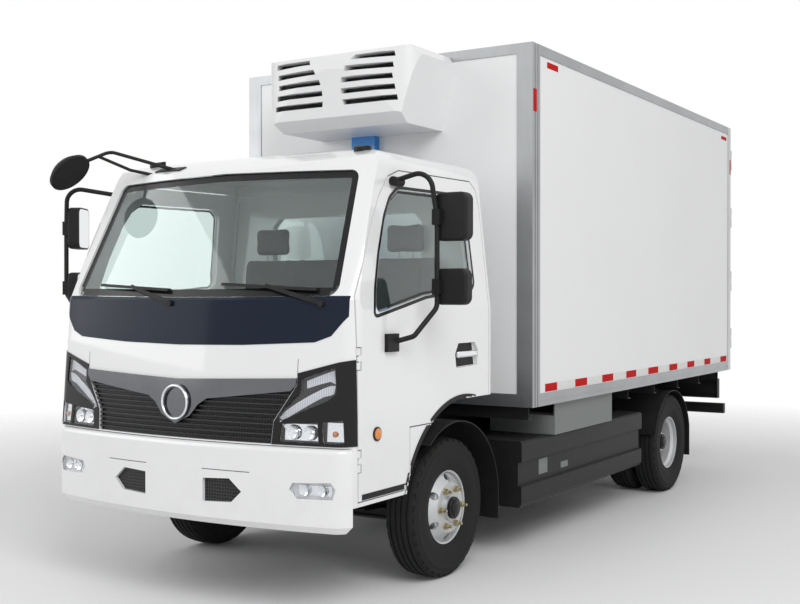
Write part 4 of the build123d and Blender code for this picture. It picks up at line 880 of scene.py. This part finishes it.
def pad(piece, swell, channels, axis):
    """Swells a block into a cushion and presses its sewn channels in, at places along x."""
    apply_modifier(piece, "REMESH", mode="VOXEL", voxel_size=PAD_VOXEL / 1000)
    start = [vertex.co.copy() for vertex in piece.data.vertices]
    only(piece)
    cloth = piece.modifiers.new("Cloth", "CLOTH")
    cloth.settings.use_pressure = True
    cloth.settings.uniform_pressure_force = AIR_FORCE
    cloth.settings.effector_weights.gravity = 0
    bpy.context.scene.frame_start = 1
    bpy.context.scene.frame_end = SWELL_FRAMES
    for number in range(1, SWELL_FRAMES + 1):
        bpy.context.scene.frame_set(number)
    bpy.ops.object.modifier_apply(modifier=cloth.name)
    for vertex, old in zip(piece.data.vertices, start):
        way = vertex.co - old
        if way.length > swell / 1000:
            vertex.co = old + way.normalized() * swell / 1000
    apply_modifier(piece, "SMOOTH", factor=0.5, iterations=4)
    edit_all(piece)
    bpy.ops.mesh.normals_make_consistent(inside=False)
    for place_x in channels:
        bpy.ops.mesh.select_all(action="DESELECT")
        mesh = bmesh.from_edit_mesh(piece.data)
        for vertex in mesh.verts:
            facing = vertex.normal.z > 0.6 if axis == "Z" else vertex.normal.y < -0.5
            vertex.select = facing and abs(vertex.co.x * 1000 - place_x) < CHANNEL_HALF
        mesh.select_flush(True)
        bpy.ops.transform.shrink_fatten(value=CHANNEL_DEPTH / 1000, use_proportional_edit=True,
                                        proportional_edit_falloff="SMOOTH",
                                        proportional_size=CHANNEL_REACH / 1000)
    bpy.ops.object.mode_set(mode="OBJECT")


def side_outline(x, points):
    """A seat's side view, as points at one x."""
    return [(x, y, z) for y, z in points]


BACK = ((146, 1292), (214, 1284), (246, 1690), (246, 1790), (204, 1806), (178, 1764))
BASE = ((-290, 950), (-150, 1002), (0, 1017), (110, 1011), (110, 1134), (-290, 1134))
# Name, middle, half width and head rest along x, places of the sewn channels
SEAT_PLACES = (("driver", 480, 245, 480, (340, 620)), ("bench", -310, 440, -520, (-650, -390, -290, 20)))
for name, middle, half, rest_x, channels in SEAT_PLACES:
    left = middle - half
    right = middle + half
    cushion = bar((left + 12, -318, 1142), (right - 12, 118, 1248), 30, 3)
    back = plate(side_outline(left + 12, BACK), (right - left - 24, 0, 0), 14)
    rest = bar((rest_x - 124, 178, 1826), (rest_x + 124, 240, 1990), 24, 3)
    base = plate(side_outline(left + 20, BASE), (right - left - 40, 0, 0), 6)
    posts = joined([rod((rest_x + dx, 214, 1780), (rest_x + dx, 214, 1850), 6, 16, 1) for dx in (-50, 50)])
    for part, piece, swell, lines, axis in (("_cushion", cushion, 16, channels, "Z"),
                                            ("_back", back, 12, channels, "Y"),
                                            ("_head_rest", rest, 8, (), "Y")):
        pad(piece, swell, lines, axis)
        replaced = ["seats"] if name + part == "driver_cushion" else ()
        finish_piece(piece, name + part, seat_grey, "cab", replaced, smooth=60)
    finish_piece(base, name + "_seat_base", grain_black, "cab")
    finish_piece(posts, name + "_head_rest_posts", steel, "cab")
print("seats made:", made[-10:])

# %% [markdown]
# The rear end gets a number plate, blank, on a black holder between the lamps. Both are flat sheets, so two thin
# bars with small bevels are enough.

# %% Number plate
holder = bar((-270, 4598, 640), (270, 4606, 770), 3)
blank = bar((-240, 4605, 652), (240, 4608, 758), 1)
finish_piece(holder, "plate_holder", grain_black, "chassis")
finish_piece(blank, "blank_plate", box_white, "chassis")
print("number plate made")

# %% [markdown]
# More of the face. Each fog lamp gets a bright tray with two bowls, each headlamp a silver box above its running
# light, and the grille's ring a bright rim. Thin dark skins give the seams of the cab's front, which are dark
# joints, and the bumper's grooves, whose darkness is painted shade in place of the recess.

# %% Face details
# This dark grey serves the cab's seams, which are dark joints, and the bumper's groove, where it is painted shade.
seam_dark_and_groove_shade = Finish("seam", (0.10, 0.10, 0.10), 0.6)
seam_dark_and_groove_shade.set("Base Color", seam_dark_and_groove_shade.mix(seam_dark_and_groove_shade.noise(20), (0.08, 0.08, 0.08), (0.14, 0.14, 0.14)))
# Painted shade: a dark line on the bumper stands for the shade inside its groove.
groove_shade = front_strip(191, 480, 708, 712, "front_bumper", 0.2, 0.5)
finish_piece(both(groove_shade), "bumper_grooves", seam_dark_and_groove_shade.material, "cab")
seam = front_strip(716, 719, 1184, 1342, "cab_shell", 0.2, 0.5)
finish_piece(both(seam), "cab_front_seams", seam_dark_and_groove_shade.material, "cab")
RING_Z = 1030
RIM_PROFILE = [(-12, 77), (-17, 80), (-19, 84), (-17, 88), (-12, 91), (-4, 91), (-4, 77)]
rim = turned(RIM_PROFILE, (0, panel_y(0, RING_Z, "grille_bar"), RING_Z), 64, "Y")
finish_piece(rim, "grille_ring_rim", bright_chrome, "cab")
FOG_Z = 642
fog = [front_strip(742, 912, 618, 664, "front_bumper", 1.0, 1.5)]
for x in (778, 868):
    fog.append(lamp_mirror(x, panel_y(x, FOG_Z, "front_bumper") - 10.5, FOG_Z, 27, 7))
finish_piece(both(joined(fog)), "fog_lamp_reflectors", bright_chrome, "cab")
box_low = [(760, 1122), (820, 1142), (880, 1158), (908, 1146)]
box_high = [(758, 1158), (818, 1182), (878, 1204), (904, 1212)]
boxes = both(front_skin(box_low, box_high, 3, "headlamps", 3.0, 2.0))
finish_piece(boxes, "headlamp_upper_boxes", led.material, "cab")
print("front details made:", made[-3:])

# %% [markdown]
# The wheel arch's black moulding lies half on the cab's side and half on its door, which opens. The same two
# rows of points are pressed on each of them, and each keeps the part that lies on it.

# %% Arch mouldings
MOULDING_R = (613, 637)
TRIM_X = 1300
angles = [math.radians(12 + 2 * step) for step in range(80)]


def arch_row(radius):
    """Points along the front wheel's arch, beside the cab."""
    return [(TRIM_X, -radius * math.cos(turn), TYRE_R + radius * math.sin(turn)) for turn in angles]


def side_trim(rows, across, proud, thick, cab_name, door_name):
    """Presses the same two rows on the cab's side and on its door, and mirrors both trims."""
    on_cab = skin(*rows, across, "cab_shell", "X", proud, thick)
    finish_piece(both(on_cab), cab_name, grain_black, "cab")
    on_door = skin(*rows, across, "cab_door_left", "X", proud, thick)
    finish_pair(on_door, door_name, grain_black, "cab_door_")


side_trim([arch_row(radius) for radius in MOULDING_R], 3, 2.0, 4.0, "arch_mouldings_cab", "arch_moulding_door_")
print("arch mouldings made")

# %% [markdown]
# A black skirt runs along the cab's lower edge, from the bumper to the arch. It is pressed on the cab's side and
# on the door in the same way.

# %% Skirts
SKIRT_Z = (588, 616)
skirt_rows = [[(TRIM_X, -985 + 22 * step, z) for step in range(20)] for z in SKIRT_Z]
side_trim(skirt_rows, 4, 0.8, 1.6, "skirt_cab", "skirt_door_")
print("skirts made")

# %% [markdown]
# Two small plates lie in the groove of the left battery box. The groove's floor is flat and upright, so they are
# thin bars and need no pressing on. They stay blank.

# %% Blank plates on the battery box
GROOVE_X = (1009.5, 1011.5)
plates = []
for y0, y1, z0, z1 in ((925, 1050, 452, 548), (1252, 1360, 450, 490)):
    plates.append(bar((GROOVE_X[0], y0, z0), (GROOVE_X[1], y1, z1), 0.6, 1))
finish_piece(joined(plates), "battery_blank_plates", trim_grey, "chassis")
print("blank plates made")

# %% [markdown]
# The studio: a pale floor that fades out into a white backdrop, one large soft light above and before the truck, a
# weaker one on the other side, and an even sky. The lights stay at a plain level, so white paint stays just
# below pure white. The camera, the glass and glossy faces see a white backdrop, and all else is lit by the
# dimmer sky; the Light Path node tells the two apart.

# %% Floor and light
FLOOR_FADE = (4.0, 9.0)
SKY_LEVEL = 0.50
floor_finish = Finish("studio_floor", (0.86, 0.86, 0.86), 0.7)
shade = floor_finish.between(floor_finish.noise(0.6, 2), 0.3, 0.7, 0.0, 0.04)
floor_finish.set("Base Color", floor_finish.mix(shade, (0.90, 0.90, 0.90), (0.84, 0.84, 0.84)))
across = floor_finish.axis("X")
along = floor_finish.axis("Y")
reach = (across * across + along * along) ** 0.5
floor_finish.set("Alpha", floor_finish.between(reach, *FLOOR_FADE, 1.0, 0.0))
bpy.ops.object.select_all(action="DESELECT")
bpy.ops.mesh.primitive_plane_add(size=120, location=(0, 0, 0))
floor = bpy.context.object
floor.name = "studio_floor"
floor.data.materials.append(floor_finish.material)

world = bpy.data.worlds.new("studio")
bpy.context.scene.world = world
world.use_nodes = True
tree = world.node_tree
sky = tree.nodes["Background"]
sky.inputs["Strength"].default_value = SKY_LEVEL
backdrop = tree.nodes.new("ShaderNodeBackground")
backdrop.inputs["Strength"].default_value = 1.0
for shader in (sky, backdrop):
    shader.inputs["Color"].default_value = (1, 1, 1, 1)
path = tree.nodes.new("ShaderNodeLightPath")
seen = tree.nodes.new("ShaderNodeMath")
seen.operation = "MAXIMUM"
through = tree.nodes.new("ShaderNodeMath")
through.operation = "MAXIMUM"
choice = tree.nodes.new("ShaderNodeMixShader")
tree.links.new(path.outputs["Is Glossy Ray"], through.inputs[0])
tree.links.new(path.outputs["Is Transmission Ray"], through.inputs[1])
tree.links.new(path.outputs["Is Camera Ray"], seen.inputs[0])
tree.links.new(through.outputs[0], seen.inputs[1])
tree.links.new(seen.outputs[0], choice.inputs[0])
tree.links.new(sky.outputs[0], choice.inputs[1])
tree.links.new(backdrop.outputs[0], choice.inputs[2])
tree.links.new(choice.outputs[0], tree.nodes["World Output"].inputs[0])


def soft_light(name, location, target, size, power):
    """A square lamp that looks at its target."""
    light = bpy.data.lights.new(name, "AREA")
    light.size = size
    light.energy = power
    lamp = bpy.data.objects.new(name, light)
    bpy.context.scene.collection.objects.link(lamp)
    lamp.location = location
    lamp.rotation_euler = (Vector(target) - Vector(location)).to_track_quat("-Z", "Y").to_euler()


soft_light("key", (7.5, -7.0, 8.0), (0, 0, 1.2), 6.0, 600)
soft_light("fill", (-8.0, -8.0, 5.0), (0, -1, 1.4), 7.0, 260)
print("studio ready")
